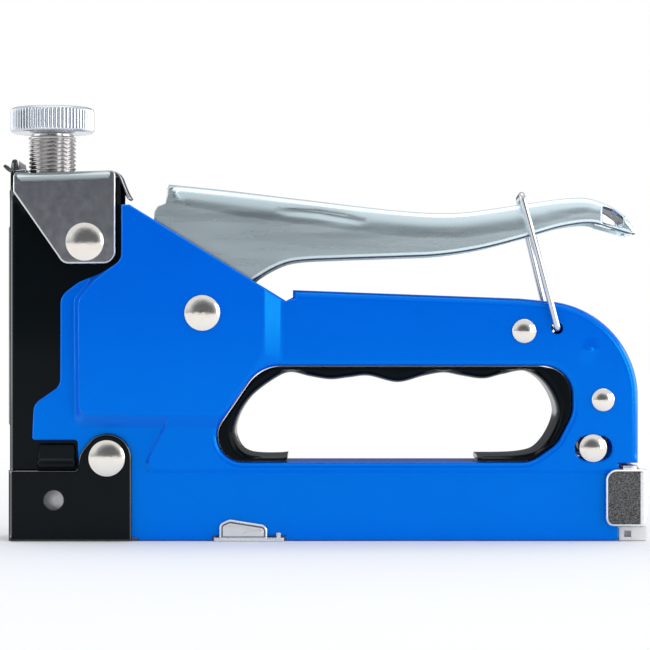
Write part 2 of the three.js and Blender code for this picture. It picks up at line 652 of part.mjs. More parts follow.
const shell = halfShell();
place('left_shell', mirrored(shell), BLUE());
place('right_shell', shell, BLUE());
place('front_channel', frontChannel(), BLACK());
place('top_cap', topCap(), CHROME());
place('tension_nut', tensionNut(), STEEL());
place('tension_screw', tensionScrew(), CHROME());
place('tension_knob', tensionKnob(), CHROME());
place('spring_seat', springSeat(), STEEL());
place('main_spring', mainSpring(), SPRING_STEEL());
place('striker_carriage', strikerCarriage(), STEEL());
place('driver_blade', driverBlade(), STEEL());
place('striker_bumper', strikerBumper(), RUBBER());
place('handle_lever', handleLever(), CHROME());
place('lift_lever', liftLever(), DARK_STEEL());
place('handle_spring', handleSpring(), SPRING_STEEL());
place('lock_bail', lockBail(), CHROME());
place('grip_liner', gripLiner(), PLASTIC());
place('cap_rivet', rivet(CAP_RIVET, 2.4, HALF_COVER), NICKEL());
place('pivot_rivet', rivet(PIVOT, 2.4, HALF_PLATEAU), NICKEL());
place('nose_rivet', rivet(NOSE_RIVET, 2.4, HALF_COVER), NICKEL());
place('grip_rivet', rivet(GRIP_RIVET, 1.8, HALF_GRIP), NICKEL());
place('rear_rivet', rivet(REAR_RIVET, 1.8, HALF_GRIP), NICKEL());
place('catch_pin', rivet(CATCH, 1.9, HALF_GRIP), NICKEL());
place('cap_spacer', tube(CAP_RIVET, 3.4, 2.7, HALF_CHANNEL - SHEET - FIT), STEEL());
place('pivot_sleeve', tube(PIVOT, 4.0, 2.7, HALF_PLATEAU - SHEET - FIT), STEEL());
place('nose_spacer', tube(NOSE_RIVET, 3.6, 2.7, HALF_MARGIN - SHEET - FIT), STEEL());
place('grip_spacer', tube(GRIP_RIVET, 2.8, 2.1, HALF_GRIP - SHEET - FIT), STEEL());
place('rear_spacer', tube(REAR_RIVET, 2.8, 2.1, HALF_GRIP - SHEET - FIT), STEEL());
place('catch_spring', catchSpring(), SPRING_STEEL());
place('staple_channel', stapleChannel(), CHROME());
place('magazine_rail', magazineRail(), STEEL());
place('pusher_rod', pusherRod(), STEEL());
place('pusher_spring', pusherSpring(), SPRING_STEEL());
place('staple_pusher', staplePusher(), STEEL());
place('magazine_latch', magazineLatch(), DARK_STEEL());
place('latch_pin', pin(LATCH_PIVOT, 1.2, -LATCH_PIN_HALF, LATCH_PIN_HALF, 20), NICKEL());

export default gun;
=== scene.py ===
"""Looks of the hand staple gun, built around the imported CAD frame.

Lengths are millimetres in the part's own frame: X from the front face of the nose, Z from
the flat bottom. place() and metres() turn them into metres in the row frame.
"""
import json
import math

import bmesh
import bpy
import numpy as np
from mathutils import Matrix, Vector
from mathutils.geometry import delaunay_2d_cdt


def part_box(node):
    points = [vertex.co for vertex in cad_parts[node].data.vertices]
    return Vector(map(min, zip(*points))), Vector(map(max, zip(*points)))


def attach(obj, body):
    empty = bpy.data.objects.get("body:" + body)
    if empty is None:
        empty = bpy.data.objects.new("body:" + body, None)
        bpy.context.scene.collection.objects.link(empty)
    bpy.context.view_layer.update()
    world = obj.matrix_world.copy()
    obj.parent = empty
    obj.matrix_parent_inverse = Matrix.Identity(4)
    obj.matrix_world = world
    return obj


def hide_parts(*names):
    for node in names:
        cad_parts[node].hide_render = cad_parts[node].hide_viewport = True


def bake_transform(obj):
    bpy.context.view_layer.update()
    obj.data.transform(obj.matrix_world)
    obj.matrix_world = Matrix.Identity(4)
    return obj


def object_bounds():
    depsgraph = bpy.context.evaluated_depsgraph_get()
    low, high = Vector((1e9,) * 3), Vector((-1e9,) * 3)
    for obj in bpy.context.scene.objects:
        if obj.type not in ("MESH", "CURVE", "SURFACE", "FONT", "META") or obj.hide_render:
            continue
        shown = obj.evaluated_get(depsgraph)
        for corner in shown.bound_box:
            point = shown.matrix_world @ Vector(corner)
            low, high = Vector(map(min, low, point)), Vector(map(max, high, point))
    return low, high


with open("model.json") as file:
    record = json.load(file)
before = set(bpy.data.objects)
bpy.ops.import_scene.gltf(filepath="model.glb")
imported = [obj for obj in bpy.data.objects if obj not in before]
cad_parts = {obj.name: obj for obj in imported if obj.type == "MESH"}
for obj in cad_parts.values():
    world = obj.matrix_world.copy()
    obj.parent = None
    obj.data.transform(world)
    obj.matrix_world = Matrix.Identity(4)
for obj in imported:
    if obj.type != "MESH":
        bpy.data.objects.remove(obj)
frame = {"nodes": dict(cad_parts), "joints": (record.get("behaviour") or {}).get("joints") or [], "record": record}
CAD_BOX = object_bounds()
FRONT_X = CAD_BOX[0].x * 1000 + 1.5  # row X of the nose's front face
SCENE = bpy.context.scene
RECORD = frame["record"]
SLOT = {part["node"]: part["material_slot"] for part in RECORD["subparts"]}
BODY = {n: body for body, names in RECORD["behaviour"]["bodies"].items() for n in names}


def limits(node):
    """Low and high corner of a CAD node's box, in mm in the part's frame."""
    return [corner * 1000 - Vector((FRONT_X, 0, 0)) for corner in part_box(node)]


def centre(node):
    low, high = limits(node)
    return (low + high) / 2


# ------------------------------------------------------------------ camera and light

CAMERA = Vector((0.35, -600.0, 53.7)) / 1000
camera_data = bpy.data.cameras.new("camera")
camera_data.sensor_width = 36
camera_data.lens = 131.6
camera = bpy.data.objects.new("camera", camera_data)
camera.location = CAMERA
camera.rotation_euler = (math.pi / 2, 0, 0)
SCENE.collection.objects.link(camera)
SCENE.camera = camera
SCENE.view_settings.view_transform = "Standard"


def softbox(name, place, toward, size, power, colour=(1, 1, 1)):
    data = bpy.data.lights.new(name, "AREA")
    data.shape = "RECTANGLE"
    data.size, data.size_y = size
    data.energy = power
    data.color = colour
    lamp = bpy.data.objects.new(name, data)
    lamp.location = place
    lamp.rotation_euler = (Vector(toward) - Vector(place)).to_track_quat("-Z", "Y").to_euler()
    SCENE.collection.objects.link(lamp)


softbox("right_softbox", (1.1, 0, 0.25), (0, 0, 0.05), (0.9, 0.7), 5.5, (1, 0.99, 0.97))
softbox("left_softbox", (-1.1, 0, 0.25), (0, 0, 0.05), (0.9, 0.7), 2.5, (0.97, 0.99, 1))
softbox("top_softbox", (0, 0, 1.2), (0, 0, 0), (1.2, 0.8), 3)
softbox("front_right_softbox", (0.80, -0.92, 0.22), (0, 0, 0.05), (0.4, 0.7), 2.4, (0.97, 0.99, 1))


def add_node(tree, kind, settings=(), **inputs):
    """Adds a shader node. An input, its spaces written as _, is a socket to link or a value."""
    node = tree.nodes.new("ShaderNode" + kind)
    for name, value in dict(settings).items():
        setattr(node, name, value)
    for name, value in inputs.items():
        socket = node.inputs[name.replace("_", " ")]
        if isinstance(value, bpy.types.NodeSocket):
            tree.links.new(value, socket)
        else:
            socket.default_value = value
    return node


def ranged(tree, value, start, end, low=0.0, high=1.0, kind="LINEAR"):
    """Maps a socket's value from start..end to low..high."""
    return add_node(tree, "MapRange", {"interpolation_type": kind}, Value=value, From_Min=start,
                    From_Max=end, To_Min=low, To_Max=high).outputs[0]


def blended(tree, factor, first, second):
    """Mixes two colours, each one a socket or four numbers."""
    return add_node(tree, "Mix", {"data_type": "RGBA"}, Factor=factor, A=first, B=second).outputs["Result"]


def light_tent():
    """White all round, with a darker patch to the front and the back for metal to mirror."""
    world = bpy.data.worlds.new("tent")
    SCENE.world = world
    world.use_nodes = True
    tree = world.node_tree
    tree.nodes.clear()
    direction = add_node(tree, "TexCoord").outputs["Generated"]
    split = add_node(tree, "SeparateXYZ", Vector=direction)

    def maths(kind, *values):
        node = add_node(tree, "Math", {"operation": kind})
        for socket, value in zip(node.inputs, values):
            if isinstance(value, bpy.types.NodeSocket):
                tree.links.new(value, socket)
            else:
                socket.default_value = value
        return node.outputs[0]

    facing = maths("ABSOLUTE", split.outputs["Y"])
    patch = ranged(tree, facing, 0.80, 0.965, kind="SMOOTHSTEP")
    height = split.outputs["Z"]
    band = maths("POWER", math.e, maths("MULTIPLY", maths("MULTIPLY", height, height), -60.0))
    wide = ranged(tree, facing, 0.45, 0.8, kind="SMOOTHSTEP")
    banded = maths("MULTIPLY", maths("MULTIPLY", band, wide), 0.55)
    room = add_node(tree, "TexNoise", Vector=direction, Scale=5.0, Detail=3.0).outputs["Fac"]
    uneven = maths("ADD", maths("MULTIPLY", room, 0.06), 0.92)
    dark = maths("MULTIPLY", maths("MAXIMUM", patch, banded), uneven)
    colour = blended(tree, dark, (0.83, 0.85, 0.87, 1), (0.10, 0.105, 0.12, 1))
    lit = add_node(tree, "Background", Color=colour)
    seen = add_node(tree, "Background", Color=(1, 1, 1, 1))
    choose = add_node(tree, "MixShader", Fac=add_node(tree, "LightPath").outputs["Is Camera Ray"])
    tree.links.new(lit.outputs[0], choose.inputs[1])
    tree.links.new(seen.outputs[0], choose.inputs[2])
    add_node(tree, "OutputWorld", Surface=choose.outputs[0])


light_tent()


# ------------------------------------------------------------------ materials

def material(name, colour, roughness, metallic=0.0, spread=0.08, cloud=250.0, rough_spread=0.3,
             grain=0.0, grain_scale=900.0, stretch=(1, 1, 1), coat=0.0, specular=0.5, tint=None,
             fleck=0.0, fleck_scale=1500.0, gleam=(1, 1, 1)):
    """Procedural finish: clouded colour and roughness, a fine grain in the surface, flecks."""
    made = bpy.data.materials.new(name)
    made.use_nodes = True
    tree = made.node_tree
    tree.nodes.clear()
    where = add_node(tree, "TexCoord").outputs["Object"]
    scaled = add_node(tree, "Mapping", Vector=where, Scale=stretch).outputs[0]

    def noise(scale, detail):
        return add_node(tree, "TexNoise", Vector=scaled, Scale=scale, Detail=detail).outputs["Fac"]

    def between(value, low, high):
        return ranged(tree, value, 0.3, 0.7, low, high)

    darker = [c * (1 - spread) for c in colour] + [1]
    lighter = [min(1, c * (1 + spread)) for c in tint or colour] + [1]
    shade = blended(tree, between(noise(cloud, 4.0), 0.0, 1.0), darker, lighter)
    fine = noise(grain_scale, 3.0)
    if fleck:
        shade = blended(tree, between(noise(fleck_scale, 2.0), 0.0, fleck), shade, (0.75, 0.74, 0.73, 1))
    rough = between(fine, roughness * (1 - rough_spread), roughness * (1 + rough_spread))
    shader = add_node(
        tree, "BsdfPrincipled", Base_Color=shade, Roughness=rough, Metallic=metallic, Coat_Weight=coat,
        Coat_Roughness=0.06, Specular_IOR_Level=specular, Specular_Tint=(*gleam, 1))
    if grain:
        bump = add_node(tree, "Bump", Strength=grain, Distance=0.0001, Height=fine)
        tree.links.new(bump.outputs[0], shader.inputs["Normal"])
    add_node(tree, "OutputMaterial", Surface=shader.outputs[0])
    return made


BLUE = material("blue_gloss_paint", (0.0, 0.118, 0.775), 0.14, spread=0.02, cloud=60, rough_spread=0.15,
                grain=0.03, grain_scale=700, specular=1.0, gleam=(0.02, 0.85, 1.0))
# Lighter blue for the slope under the finger opening: a painted reflection of the pale ground.
BLUE_PAINTED_REFLECTION = material("blue_paint_on_slope", (0.0, 0.175, 0.84), 0.6, spread=0.02, cloud=60,
                      specular=0.3, gleam=(0.02, 0.85, 1.0))
BLACK = material("black_satin_paint", (0.0010, 0.0022, 0.0034), 0.2, spread=0.15, cloud=120,
                 grain=0.04, grain_scale=2200, specular=0.10, gleam=(0.7, 0.9, 1.0), coat=0.1)
# Glossier black for rolled edges and the cap's front tongue; its slightly lighter colour is a painted highlight.
BLACK_EDGE = material("black_paint_edge", (0.0040, 0.0050, 0.0060), 0.25, spread=0.15, cloud=120,
                      grain=0.04, grain_scale=2200, specular=0.9, coat=1.0)
CHROME = material("bright_plating", (0.62, 0.64, 0.67), 0.13, 1.0, spread=0.02, cloud=90,
                  rough_spread=0.2, grain=0.02, grain_scale=500)
# Darker plating for the cap's top bend: painted shade over its reflection of the bright top.
CHROME_BEND_PAINTED_SHADE = material("bright_plating_on_bend", (0.44, 0.50, 0.51), 0.3, 1.0, spread=0.03, cloud=90,
                       grain=0.02, grain_scale=500, stretch=(0.2, 1, 2))
# Bright plating for cut edges and rims; on the tabs' rounded rims it is a painted highlight.
CHROME_EDGE_AND_RIM_HIGHLIGHT = material("bright_cut_edge", (0.92, 0.93, 0.95), 0.3, 1.0, spread=0.02, cloud=200)
HANDLE = material("handle_plating", (0.68, 0.80, 0.84), 0.27, 1.0, spread=0.04, cloud=55,
                  rough_spread=0.2, grain=0.05, grain_scale=160, stretch=(0.3, 1, 2.4))
KNURL = material("knurled_plating", (0.60, 0.63, 0.68), 0.2, 1.0, spread=0.05, cloud=200,
                 grain=0.1, grain_scale=1400)
# Dark grey for the handle's faces that look down: painted shade.
HEM_PAINTED_SHADE = material("handle_hem", (0.16, 0.165, 0.17), 0.45, 0.7, spread=0.1, cloud=200)
THREAD = material("thread_plating", (0.53, 0.515, 0.51), 0.14, 1.0, spread=0.06, cloud=400,
                  grain=0.06, grain_scale=1500)
NICKEL = material("nickel", (0.86, 0.82, 0.76), 0.12, 1.0, spread=0.04, cloud=250,
                  rough_spread=0.3, grain=0.5, grain_scale=420)
STEEL = material("machined_steel", (0.50, 0.50, 0.52), 0.32, 1.0, spread=0.1, cloud=500,
                 grain=0.15, grain_scale=900, stretch=(0.25, 1, 3))
TAB_STEEL = material("pressed_steel", (0.80, 0.80, 0.80), 0.35, 0.45, spread=0.04, cloud=150,
                     grain=0.04, grain_scale=900)
SPRING = material("spring_wire", (0.30, 0.31, 0.33), 0.3, 1.0, spread=0.12, cloud=900,
                  grain=0.1, grain_scale=1500)
# Dark steel for its own parts; in the tabs' grooves it is painted shade.
DARK_STEEL_AND_GROOVE_SHADE = material("dark_steel", (0.16, 0.16, 0.17), 0.42, 1.0, spread=0.15, cloud=600,
                grain=0.4, grain_scale=1300)
GRIT = material("gritty_plating", (0.030, 0.030, 0.033), 0.3, 1.0, spread=0.4, cloud=1500,
                grain=1.0, grain_scale=2800, fleck=0.24, fleck_scale=3000, tint=(0.06, 0.06, 0.063))
ZINC = material("zinc_plated_rail", (0.90, 0.90, 0.90), 0.45, 0.2, spread=0.05, cloud=200,
                grain=0.1, grain_scale=900, stretch=(0.25, 1, 3))
LINER = material("black_plastic", (0.0020, 0.0026, 0.0036), 0.2, spread=0.12, cloud=300,
                 grain=0.03, grain_scale=1600, specular=0.1, gleam=(0.7, 0.9, 1.0))
RUBBER = material("rubber", (0.012, 0.012, 0.013), 0.7, spread=0.2, cloud=500, grain=0.4,
                  grain_scale=1800)


def painted_light_to_rear(made, start, end, low, high):
    """Scales a finish's colour by low at X start and by high at X end, in metres: painted light and shade along X.
    """
    tree = made.node_tree
    shader = next(n for n in tree.nodes if n.type == "BSDF_PRINCIPLED")
    colour = shader.inputs["Base Color"].links[0].from_socket
    x = add_node(tree, "SeparateXYZ", Vector=add_node(tree, "TexCoord").outputs["Object"]).outputs["X"]
    strength = ranged(tree, x, start, end, low, high)
    scaled = add_node(tree, "VectorMath", {"operation": "SCALE"}, Scale=strength)
    tree.links.new(colour, scaled.inputs[0])
    tree.links.new(scaled.outputs[0], shader.inputs["Base Color"])


# Painted light: the handle's plating is painted darker to the front and lighter to the rear.
painted_light_to_rear(HANDLE, -0.015, 0.055, 0.88, 1.18)
FINISH = {
    "body_paint": BLUE, "channel_paint": BLACK, "chrome": CHROME, "nickel": NICKEL,
    "steel": STEEL, "spring_steel": SPRING, "dark_steel": DARK_STEEL_AND_GROOVE_SHADE, "liner_plastic": LINER,
    "bumper_rubber": RUBBER,
}


# ------------------------------------------------------------------ lines in the XZ plane

def rounded(corners, degrees=9.0):
    """Corners [x, z] or [x, z, radius]; a radius rounds the corner with an arc."""
    points = []
    for i, corner in enumerate(corners):
        x, z, *radius = corner
        if not radius:
            points.append((x, z))
            continue
        here = np.array((x, z), float)
        back = np.array(corners[i - 1][:2], float) - here
        ahead = np.array(corners[(i + 1) % len(corners)][:2], float) - here
        back /= np.linalg.norm(back)
        ahead /= np.linalg.norm(ahead)
        half = math.acos(max(-1, min(1, back @ ahead))) / 2
        middle = here + (back + ahead) / np.linalg.norm(back + ahead) * radius[0] / math.sin(half)
        start = here + back * radius[0] / math.tan(half) - middle
        end = here + ahead * radius[0] / math.tan(half) - middle
        turn = math.atan2(start[0] * end[1] - start[1] * end[0], start @ end)
        steps = max(2, math.ceil(abs(math.degrees(turn)) / degrees))
        for k in range(steps + 1):
            c, s = math.cos(turn * k / steps), math.sin(turn * k / steps)
            points.append(tuple(middle + (c * start[0] - s * start[1], s * start[0] + c * start[1])))
    return points


def clamp(*values):
    """The least of the values, kept between 0 and 1."""
    return max(0.0, min(1.0, *values))


def arc(x, z, radius, start, end, steps):
    angles = [math.radians(start + (end - start) * k / steps) for k in range(steps + 1)]
    return [(x + radius * math.cos(a), z + radius * math.sin(a)) for a in angles]


def circle(x, z, radius, steps=32):
    return arc(x, z, radius, 0, 360, steps)[:-1]


def spline(points, count):
    """The same curve as the CAD's handle: uniform Catmull-Rom through the points."""
    made = []
    for k in range(count + 1):
        p = (len(points) - 1) * k / count
        i = min(int(p), len(points) - 2)
        t = p - i
        p0 = points[max(i - 1, 0)]
        p1, p2 = points[i], points[i + 1]
        p3 = points[min(i + 2, len(points) - 1)]
        made.append(tuple(
            b + t * ((c - a) / 2 + t * ((2 * a - 5 * b + 4 * c - d) / 2 + t * (3 * b - 3 * c + d - a) / 2))
            for a, b, c, d in zip(p0, p1, p2, p3)))
    return made


def area(line):
    x, z = np.array(line, float).T
    return 0.5 * np.sum(x * np.roll(z, -1) - z * np.roll(x, -1))


def offset(line, distances):
    """Moves a closed line to its left by a distance for each point."""
    edges = np.roll(line, -1, axis=0) - line
    edges /= np.maximum(np.linalg.norm(edges, axis=1), 1e-9)[:, None]
    normals = np.stack((-edges[:, 1], edges[:, 0]), 1)
    both = normals + np.roll(normals, 1, axis=0)
    both /= np.maximum(np.linalg.norm(both, axis=1), 1e-9)[:, None]
    stretch = 1 / np.maximum((both * normals).sum(1), 0.6)
    return line + both * (distances * stretch)[:, None]


def nearest(points, line, closed=True):
    """Distance of each point to a line, with the index and share of the nearest place on it."""
    a = np.asarray(line, float)
    b = np.roll(a, -1, axis=0)
    if not closed:
        a, b = a[:-1], b[:-1]
    along = b - a
    size = np.maximum((along ** 2).sum(1), 1e-12)
    found = []
    for some in np.array_split(points, max(1, len(points) // 1500)):
        share = np.clip(((some[:, None] - a) * along).sum(2) / size, 0, 1)
        gap = some[:, None] - (a + share[..., None] * along)
        square = (gap ** 2).sum(2)
        best = square.argmin(1)
        rows = np.arange(len(some))
        found.append(np.stack((np.sqrt(square[rows, best]), best, share[rows, best]), 1))
    return np.concatenate(found).T


def gap_to(line, x, z, closed=True):
    """Distance of one point to a line."""
    return nearest(np.array([(x, z)]), line, closed)[0][0]


def within(points, line):
    """Which of the points lie inside a closed line."""
    a = np.asarray(line, float)
    b = np.roll(a, -1, axis=0)
    x, z = points[:, 0][:, None], points[:, 1][:, None]
    rise = np.where(np.abs(b[:, 1] - a[:, 1]) < 1e-12, 1e-12, b[:, 1] - a[:, 1])
    cross = ((a[:, 1] > z) != (b[:, 1] > z)) & (x < (b[:, 0] - a[:, 0]) * (z - a[:, 1]) / rise + a[:, 0])
    return cross.sum(1) % 2 == 1


# ------------------------------------------------------------------ pressed sheet

def resampled(line, pitch):
    """Adds points to the long straight parts of a closed line."""
    made = []
    for start, end in zip(line, [*line[1:], line[0]]):
        count = max(1, math.ceil(math.dist(start, end) / pitch))
        dx, dz = end[0] - start[0], end[1] - start[1]
        made += [(start[0] + dx * k / count, start[1] + dz * k / count) for k in range(count)]
    return made


class Edge:
    """A closed edge of a pressed sheet.

    roll is how far in the rounding starts, drop how far the surface falls there, and wall the
    half thickness that the folded wall reaches, or None for a cut edge. Each may be one value
    or a function of x and z. bead is (distance, half width, height) of a ridge beside the edge,
    or of a groove if its height is negative.
    """

    def __init__(self, points, roll=0.3, drop=None, wall=None, hole=False, bead=None, rows=5, pitch=1.5):
        points = resampled(points, pitch)
        self.points = np.array(points, float)

        def spread(v):
            values = [v(x, z) for x, z in points] if callable(v) else [v] * len(points)
            return np.array([np.nan if x is None else x for x in values], float)

        self.roll = spread(roll)
        self.drop = self.roll.copy() if drop is None else spread(drop)
        self.wall = spread(wall)
        if (area(points) > 0) == hole:
            for name in ("points", "roll", "drop", "wall"):
                setattr(self, name, getattr(self, name)[::-1].copy())
        self.hole, self.bead, self.rows = hole, bead, rows

    def rings(self):
        shares = [1 - math.cos(math.pi / 2 * k / self.rows) for k in range(self.rows + 1)]
        lines = [offset(self.points, self.roll * s) if s else self.points for s in shares]
        lines.append(offset(self.points, self.roll * 1.04 + 0.06))
        if self.bead:
            at, half, _ = self.bead
            lines += [offset(self.points, np.full(len(self.points), at + half * k))
                      for k in (-1, -0.4, 0.4, 1)]
        return lines

    def value(self, what, index, share):
        values = getattr(self, what)
        here, there = values[index.astype(int)], values[(index.astype(int) + 1) % len(values)]
        return here + (there - here) * share

    def fall(self, points):
        gap, index, share = nearest(points, self.points)
        roll = np.maximum(self.value("roll", index, share), 1e-6)
        drop = self.value("drop", index, share)
        part = np.clip(1 - gap / roll, 0, 1)
        down = drop * (1 - np.sqrt(np.maximum(1 - part ** 2, 0)))
        if self.bead:
            at, half, high = self.bead
            down = down - high * np.exp(-((gap - at) / half * 1.5) ** 2)
        return down


def net(edges, lines, step):
    """Triangles between the edges, as points in the XZ plane and the faces that lie on the sheet."""
    vertices, links, marks = [], [], []
    creases = [(ring, True) for edge in edges for ring in edge.rings()]
    for line, closed in [*creases, *lines]:
        first = len(vertices)
        vertices.extend(Vector(p) for p in line)
        links.extend((first + k, first + k + 1) for k in range(len(line) - 1))
        if closed:
            links.append((first + len(line) - 1, first))
        marks.append((np.asarray(line, float), closed))
    low, high = edges[0].points.min(0), edges[0].points.max(0)
    xs = np.arange(low[0] + step / 2, high[0], step)
    zs = np.arange(low[1] + step / 2, high[1], step)
    grid = np.array([(x + (step / 2 if j % 2 else 0), z) for j, z in enumerate(zs) for x in xs])
    keep = np.ones(len(grid), bool)
    for line, closed in marks:
        keep &= nearest(grid, line, closed)[0] > step * 0.45
    vertices.extend(Vector(p) for p in grid[keep])
    made, _, faces, *_ = delaunay_2d_cdt(vertices, links, [], 0, 1e-5)
    flat = np.array([tuple(v) for v in made])
    middles = np.array([flat[list(f)].mean(0) for f in faces])
    inside = within(middles, edges[0].points)
    for edge in edges[1:]:
        inside &= ~within(middles, edge.points)
    return flat, [face for face, good in zip(faces, inside) if good]


def fold_walls(bm, edges, steps):
    """Adds the folded walls along the edges that have one."""
    rims = [e for e in bm.edges if len(e.link_faces) == 1]
    ends = [v for v in bm.verts if v.is_boundary]
    places = np.array([(v.co.x, v.co.z) for v in ends])
    gaps, walls = [], []
    for edge in edges:
        gap, index, share = nearest(places, edge.points)
        gaps.append(gap)
        walls.append(edge.value("wall", index, share))
    owner = np.argmin(gaps, axis=0)
    columns = {}
    for k, vert in enumerate(ends):
        end = walls[owner[k]][k]
        if np.isnan(end) or gaps[owner[k]][k] > 0.01:
            continue
        x, y, z = vert.co
        heights = [y + (end - y) * j / steps for j in range(1, steps + 1)]
        columns[vert] = [vert] + [bm.verts.new((x, height, z)) for height in heights]
    for rim in rims:
        if any(v not in columns for v in rim.verts):
            continue
        first = rim.link_loops[0].vert
        here, there = columns[first], columns[rim.other_vert(first)]
        for j in range(steps):
            bm.faces.new((there[j], here[j], here[j + 1], there[j + 1]))


def pressed(edges, level, lines=(), step=2.5, wall_steps=1, shift=None):
    """Outer surface of the +Y half of a pressed sheet, as an open bmesh in mm.

    edges[0] is the outline, the others are holes. level is the half thickness, a number or a
    function of the points. lines are creases that the mesh follows, as (points, closed).
    """
    flat, faces = net(edges, lines, step)
    y = level(flat) if callable(level) else np.full(len(flat), level)
    falls = np.max([edge.fall(flat) for edge in edges], axis=0)
    lifts = np.min([edge.fall(flat) for edge in edges], axis=0)
    y = y - np.where(falls > 0, falls, np.minimum(lifts, 0))
    bm = bmesh.new()
    verts = [bm.verts.new((p[0], v, p[1])) for p, v in zip(flat, y)]
    for face in faces:
        bm.faces.new([verts[i] for i in reversed(face)])
    bmesh.ops.delete(bm, geom=[v for v in bm.verts if not v.link_faces], context="VERTS")
    bmesh.ops.recalc_face_normals(bm, faces=bm.faces)
    flattest = max(bm.faces, key=lambda f: f.calc_area() * (abs(f.normal.y) > 0.9))
    if flattest.normal.y < 0:
        bmesh.ops.reverse_faces(bm, faces=bm.faces)
    fold_walls(bm, edges, wall_steps)
    if shift:
        for v in bm.verts:
            v.co = shift(v.co)
    bm.normal_update()
    return bm


def mirrored(bm):
    other = bm.copy()
    for v in other.verts:
        v.co.y = -v.co.y
    bmesh.ops.reverse_faces(other, faces=other.faces)
    return other


def joined(*parts, weld=0.0):
    """One bmesh of all the parts, with points nearer than weld merged."""
    whole = bmesh.new()
    for part in parts:
        mesh = bpy.data.meshes.new("part")
        part.to_mesh(mesh)
        whole.from_mesh(mesh)
        bpy.data.meshes.remove(mesh)
    if weld:
        bmesh.ops.remove_doubles(whole, verts=whole.verts, dist=weld)
    return whole


def both_sides(half, weld=0.02):
    return joined(half, mirrored(half), weld=weld)


def in_scene(name, bm):
    """A new object of the scene with the bmesh as its mesh."""
    mesh = bpy.data.meshes.new(name)
    bm.to_mesh(mesh)
    obj = bpy.data.objects.new(name, mesh)
    SCENE.collection.objects.link(obj)
    return obj


def discard(obj):
    mesh = obj.data
    bpy.data.objects.remove(obj)
    bpy.data.meshes.remove(mesh)


def modified(bm, *steps):
    """Applies modifiers, each (type, settings), in mm."""
    obj = in_scene("work", bm)
    for kind, settings in steps:
        modifier = obj.modifiers.new(kind, kind)
        for name, value in settings.items():
            setattr(modifier, name, value)
    graph = bpy.context.evaluated_depsgraph_get()
    result = bpy.data.meshes.new_from_object(obj.evaluated_get(graph))
    made = bmesh.new()
    made.from_mesh(result)
    bpy.data.meshes.remove(result)
    discard(obj)
    return made


def thickened(bm, thickness=1.0):
    return modified(bm, ("SOLIDIFY", {
        "thickness": thickness, "offset": -1, "use_even_offset": True, "use_quality_normals": True}))


def place(name, bm, node, finishes, choose=None, sharp=38, rides=True):
    """Turns a bmesh in mm into a piece that rides on its CAD body and stands for its node.

    choose(face) says which of the finishes a face has.
    """
    bm.transform(Matrix.Translation((FRONT_X / 1000, 0, 0)) @ Matrix.Scale(0.001, 4))
    for face in bm.faces:
        face.smooth = True
        face.material_index = finishes.index(choose(face)) if choose else 0
    obj = in_scene(name, bm)
    bm.free()
    obj.data.set_sharp_from_angle(angle=math.radians(sharp))
    for finish in finishes:
        obj.data.materials.append(finish)
    if rides:
        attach(obj, BODY[node])
    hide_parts(node)
    return obj


def face_at(face):
    """Middle of a placed face in mm in the part's frame, its Y without sign."""
    middle = face.calc_center_median() * 1000
    return middle.x - FRONT_X, abs(middle.y), middle.z


# ------------------------------------------------------------------ other solids

def prism(points, low, high, axis="Y", bevel=0.2, segments=2):
    """Outline raised along X or Y, with rounded edges. Points are the other two axes in order."""
    bm = bmesh.new()
    order = {"X": lambda a, b, t: (t, a, b), "Y": lambda a, b, t: (a, t, b)}[axis]
    face = bm.faces.new([bm.verts.new(order(a, b, low)) for a, b in points])
    raised = bmesh.ops.extrude_face_region(bm, geom=[face])["geom"]
    verts = [g for g in raised if isinstance(g, bmesh.types.BMVert)]
    bmesh.ops.translate(bm, verts=verts, vec=order(0, 0, high - low))
    bmesh.ops.recalc_face_normals(bm, faces=bm.faces)
    if not bevel:
        return bm
    return modified(bm, ("BEVEL", {"width": bevel, "segments": segments, "limit_method": "ANGLE",
                                   "angle_limit": math.radians(30), "use_clamp_overlap": True}))


def box(x, y, z, bevel=0.2):
    return prism([(x[0], z[0]), (x[1], z[0]), (x[1], z[1]), (x[0], z[1])], y[0], y[1], "Y", bevel)


def turned(profile, sides, axis_at, axis="Z", radius=None):
    """Turns a [radius, height] profile about Z or Y; radius(r, h, angle) may change a point's radius."""
    bm = bmesh.new()
    rows = []
    for r, h in profile:
        if r < 1e-9:
            rows.append([bm.verts.new((0, 0, h))])
            continue
        row = []
        for k in range(sides):
            angle = 2 * math.pi * k / sides
            size = radius(r, h, angle) if radius else r
            row.append(bm.verts.new((size * math.cos(angle), size * math.sin(angle), h)))
        rows.append(row)
    for low, high in zip(rows, rows[1:]):
        for k in range(sides):
            n = (k + 1) % sides
            corners = [low[k % len(low)], low[n % len(low)], high[n % len(high)], high[k % len(high)]]
            corners = list(dict.fromkeys(corners))
            if len(corners) > 2:
                bm.faces.new(corners)
    if axis == "Y":
        bm.transform(Matrix.Rotation(math.pi / 2, 4, "X"))
    bm.transform(Matrix.Translation(axis_at))
    bmesh.ops.recalc_face_normals(bm, faces=bm.faces)
    return bm


